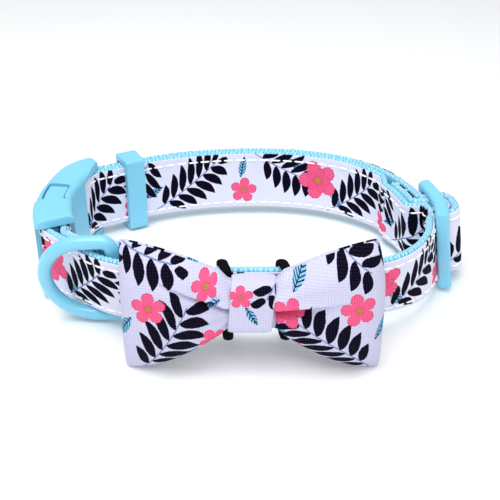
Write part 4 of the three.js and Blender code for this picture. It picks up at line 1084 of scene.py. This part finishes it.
BOW_TILE = (ring_lengths[-1] / 2, 60)
BOW_FRONDS = [
    # x, y, turn, length, leaf
    (-30, -18, 50, 25, 8.2), (34, -18, 134, 29, 8.2), (-37, 17, -26, 18.5, 7.0), (22, 20, -48, 18, 6.8),
]
BOW_FLOWERS = [
    # x, y, turn, radius
    (-27.5, 1.0, 20, 4.6), (-11.5, -9.5, 50, 4.5), (12.0, -0.6, 0, 5.0), (30, 0.5, 30, 4.8),
    (14.5, -14.0, 8, 4.0), (-13.5, 6.5, 30, 3.9),
]
BOW_BLADES = [
    # x, y, turn, length, half width
    (-32, -2, 232, 9, 1.6), (-14, -12, 204, 9, 1.6), (13, 5, 64, 9, 1.7), (8, -3, -64, 9, 1.5),
    (-9, 3, -160, 7, 1.4),
]

bow_print = cloth_material("printed_plain_weave", BOW_TILE, BOW_FRONDS, BOW_FLOWERS, BOW_BLADES)
bow.data.materials.append(bow_print)
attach(bow, "collar")
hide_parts("bow_body")

# Knot. A short band of the same cloth wrapped round the bow's middle, its raw edges
# folded under, a little fuller across its front.
KNOT_AROUND = 96
KNOT_ACROSS = 20
KNOT_SPARE = 0.35
KNOT_RIM = 0.4
knot, flat = new_grid("bow_knot_band", KNOT_AROUND, KNOT_ACROSS)
knot_outline = rounded_section(-KNOT_DEPTH / 2, KNOT_DEPTH / 2, KNOT_HEIGHT / 2, KNOT_RADIUS, 8, 8)
knot_outline = np.concatenate([knot_outline, knot_outline[:1]])
outline_lengths = lengths_along(knot_outline)
round_share = (flat[:, 0] + 1) / 2 * outline_lengths[-1]
y, z = (np.interp(round_share, outline_lengths, knot_outline[:, k]) for k in (0, 1))
across_share = flat[:, 1]
crown = 1 - 0.05 * across_share ** 4
# The cloth reaches KNOT_SPARE past the CAD knot at each of its two rims
x = across_share * (KNOT_WIDTH / 2 + KNOT_SPARE) + KNOT_SKEW * z / (KNOT_HEIGHT / 2)
points = np.stack([x, -y * crown, z * crown], 1)
around_mm = round_share - outline_lengths[-1] + KNOT_HEIGHT / 2 - KNOT_RADIUS
keep_cloth_places(knot.data, np.stack([x, around_mm], 1))
knot.data.vertices.foreach_set("co", ((points @ tilt.T + bow_at) * MM).ravel())
make_cloth_ring(knot, KNOT_WALL, -1, KNOT_RIM, 3)

# A small frond, a flower and a blade. The tile is the band's own length, so each is
# printed once
KNOT_TILE = (60, outline_lengths[-1])
KNOT_FRONDS = [(6.5, 9, -118, 9, 4.2)]
KNOT_FLOWERS = [(-2.6, 3.8, 20, 3.3)]
KNOT_BLADES = [(-1.5, 1.2, -60, 6, 1.1)]
knot_print = cloth_material(
    "printed_plain_weave_knot", KNOT_TILE, KNOT_FRONDS, KNOT_FLOWERS, KNOT_BLADES)
knot.data.materials.append(knot_print)
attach(knot, "collar")
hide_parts("bow_knot")

# Elastic loops. Two black woven elastic cords, sewn behind the knot, that slip over the
# strap and hold the bow on it.
ELASTIC_WIDTH = 2.6
ELASTIC_THICKNESS = 1.4
ELASTIC_LEFT = 6.6
ELASTIC_RIGHT = 8.0
ELASTIC_SKEW = 0.35
ELASTIC_HANGS = 4.4
ELASTIC_CORNER = 0.4
RUBBER_BLACK = "#020203"
BRAID_BLACK = "#060608"

black_elastic, tree = new_material("woven_elastic_cord")
# Covered rubber: dull black braid with fine slanting ribs, 0.7 mm apart
coordinates = add(tree, "ShaderNodeTexCoord")
braid = add(tree, "ShaderNodeTexWave", {
    "Vector": coordinates.outputs["Object"], "Scale": 420.0, "Distortion": 2.0,
}, bands_direction="DIAGONAL")
colour = add(tree, "ShaderNodeMix", {0: braid, 6: srgb(RUBBER_BLACK), 7: srgb(BRAID_BLACK)},
             data_type="RGBA")
braid_relief = add(tree, "ShaderNodeBump", {"Height": braid, "Strength": 0.4, "Distance": 0.0002})
shader = add(tree, "ShaderNodeBsdfPrincipled", {
    "Base Color": colour.outputs[2], "Roughness": 0.75, "Specular IOR Level": 0.1, "Normal": braid_relief})
add(tree, "ShaderNodeOutputMaterial", {"Surface": shader})

# Each loop's middle line goes round the strap, clear of it on every side
gap = CLEARANCE + ELASTIC_THICKNESS / 2
line = rounded_section(-gap, OUTER + TO_PRINT + gap, HALF_STRAP + gap, ELASTIC_CORNER + gap, 10, 8)
line = np.concatenate([line, line[:1]])
line_lengths = lengths_along(line)
TURN_REACH = 0.3
MAJOR = 120
MINOR = 16
for name, node_name, s in (
        ("elastic_loop_left", "elastic_left", -ELASTIC_LEFT),
        ("elastic_loop_right", "elastic_right", ELASTIC_RIGHT)):
    bpy.ops.object.select_all(action="DESELECT")
    bpy.ops.mesh.primitive_torus_add(
        major_segments=MAJOR, minor_segments=MINOR, major_radius=1.0, minor_radius=0.25)
    loop = bpy.context.object
    loop.name = name
    mesh = loop.data
    ring_points = np.array([tuple(p.co) for p in mesh.vertices])
    major = np.arctan2(ring_points[:, 1], ring_points[:, 0])
    radial = np.hypot(ring_points[:, 0], ring_points[:, 1]) - 1
    minor = np.arctan2(ring_points[:, 2], radial)
    at = (major % (2 * np.pi)) / (2 * np.pi) * line_lengths[-1]
    o, w = (np.interp(at, line_lengths, line[:, k]) for k in (0, 1))
    ahead, behind = (
        [np.interp((at + r) % line_lengths[-1], line_lengths, line[:, k]) for k in (0, 1)]
        for r in (TURN_REACH, -TURN_REACH))
    do, dw = ahead[0] - behind[0], ahead[1] - behind[1]
    size = np.maximum(np.hypot(do, dw), 1e-6)
    out = ELASTIC_THICKNESS / 2 * np.cos(minor)
    skewed = s + ELASTIC_SKEW * (o - line[:, 0].mean()) / gap
    # The front strand is sewn to the bow, so it hangs straight down where the strap leans back
    front_share = (o - line[:, 0].min()) / np.ptp(line[:, 0])
    o = o + ELASTIC_HANGS * front_share * smooth(-0.5 * HALF_STRAP, HALF_STRAP, -w)
    points = place(skewed + ELASTIC_WIDTH / 2 * np.sin(minor), o + dw / size * out, w - do / size * out)
    mesh.vertices.foreach_set("co", (points * MM).ravel())
    turn_outward()
    loop.data.materials.append(black_elastic)
    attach(loop, "collar")
    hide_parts(node_name)
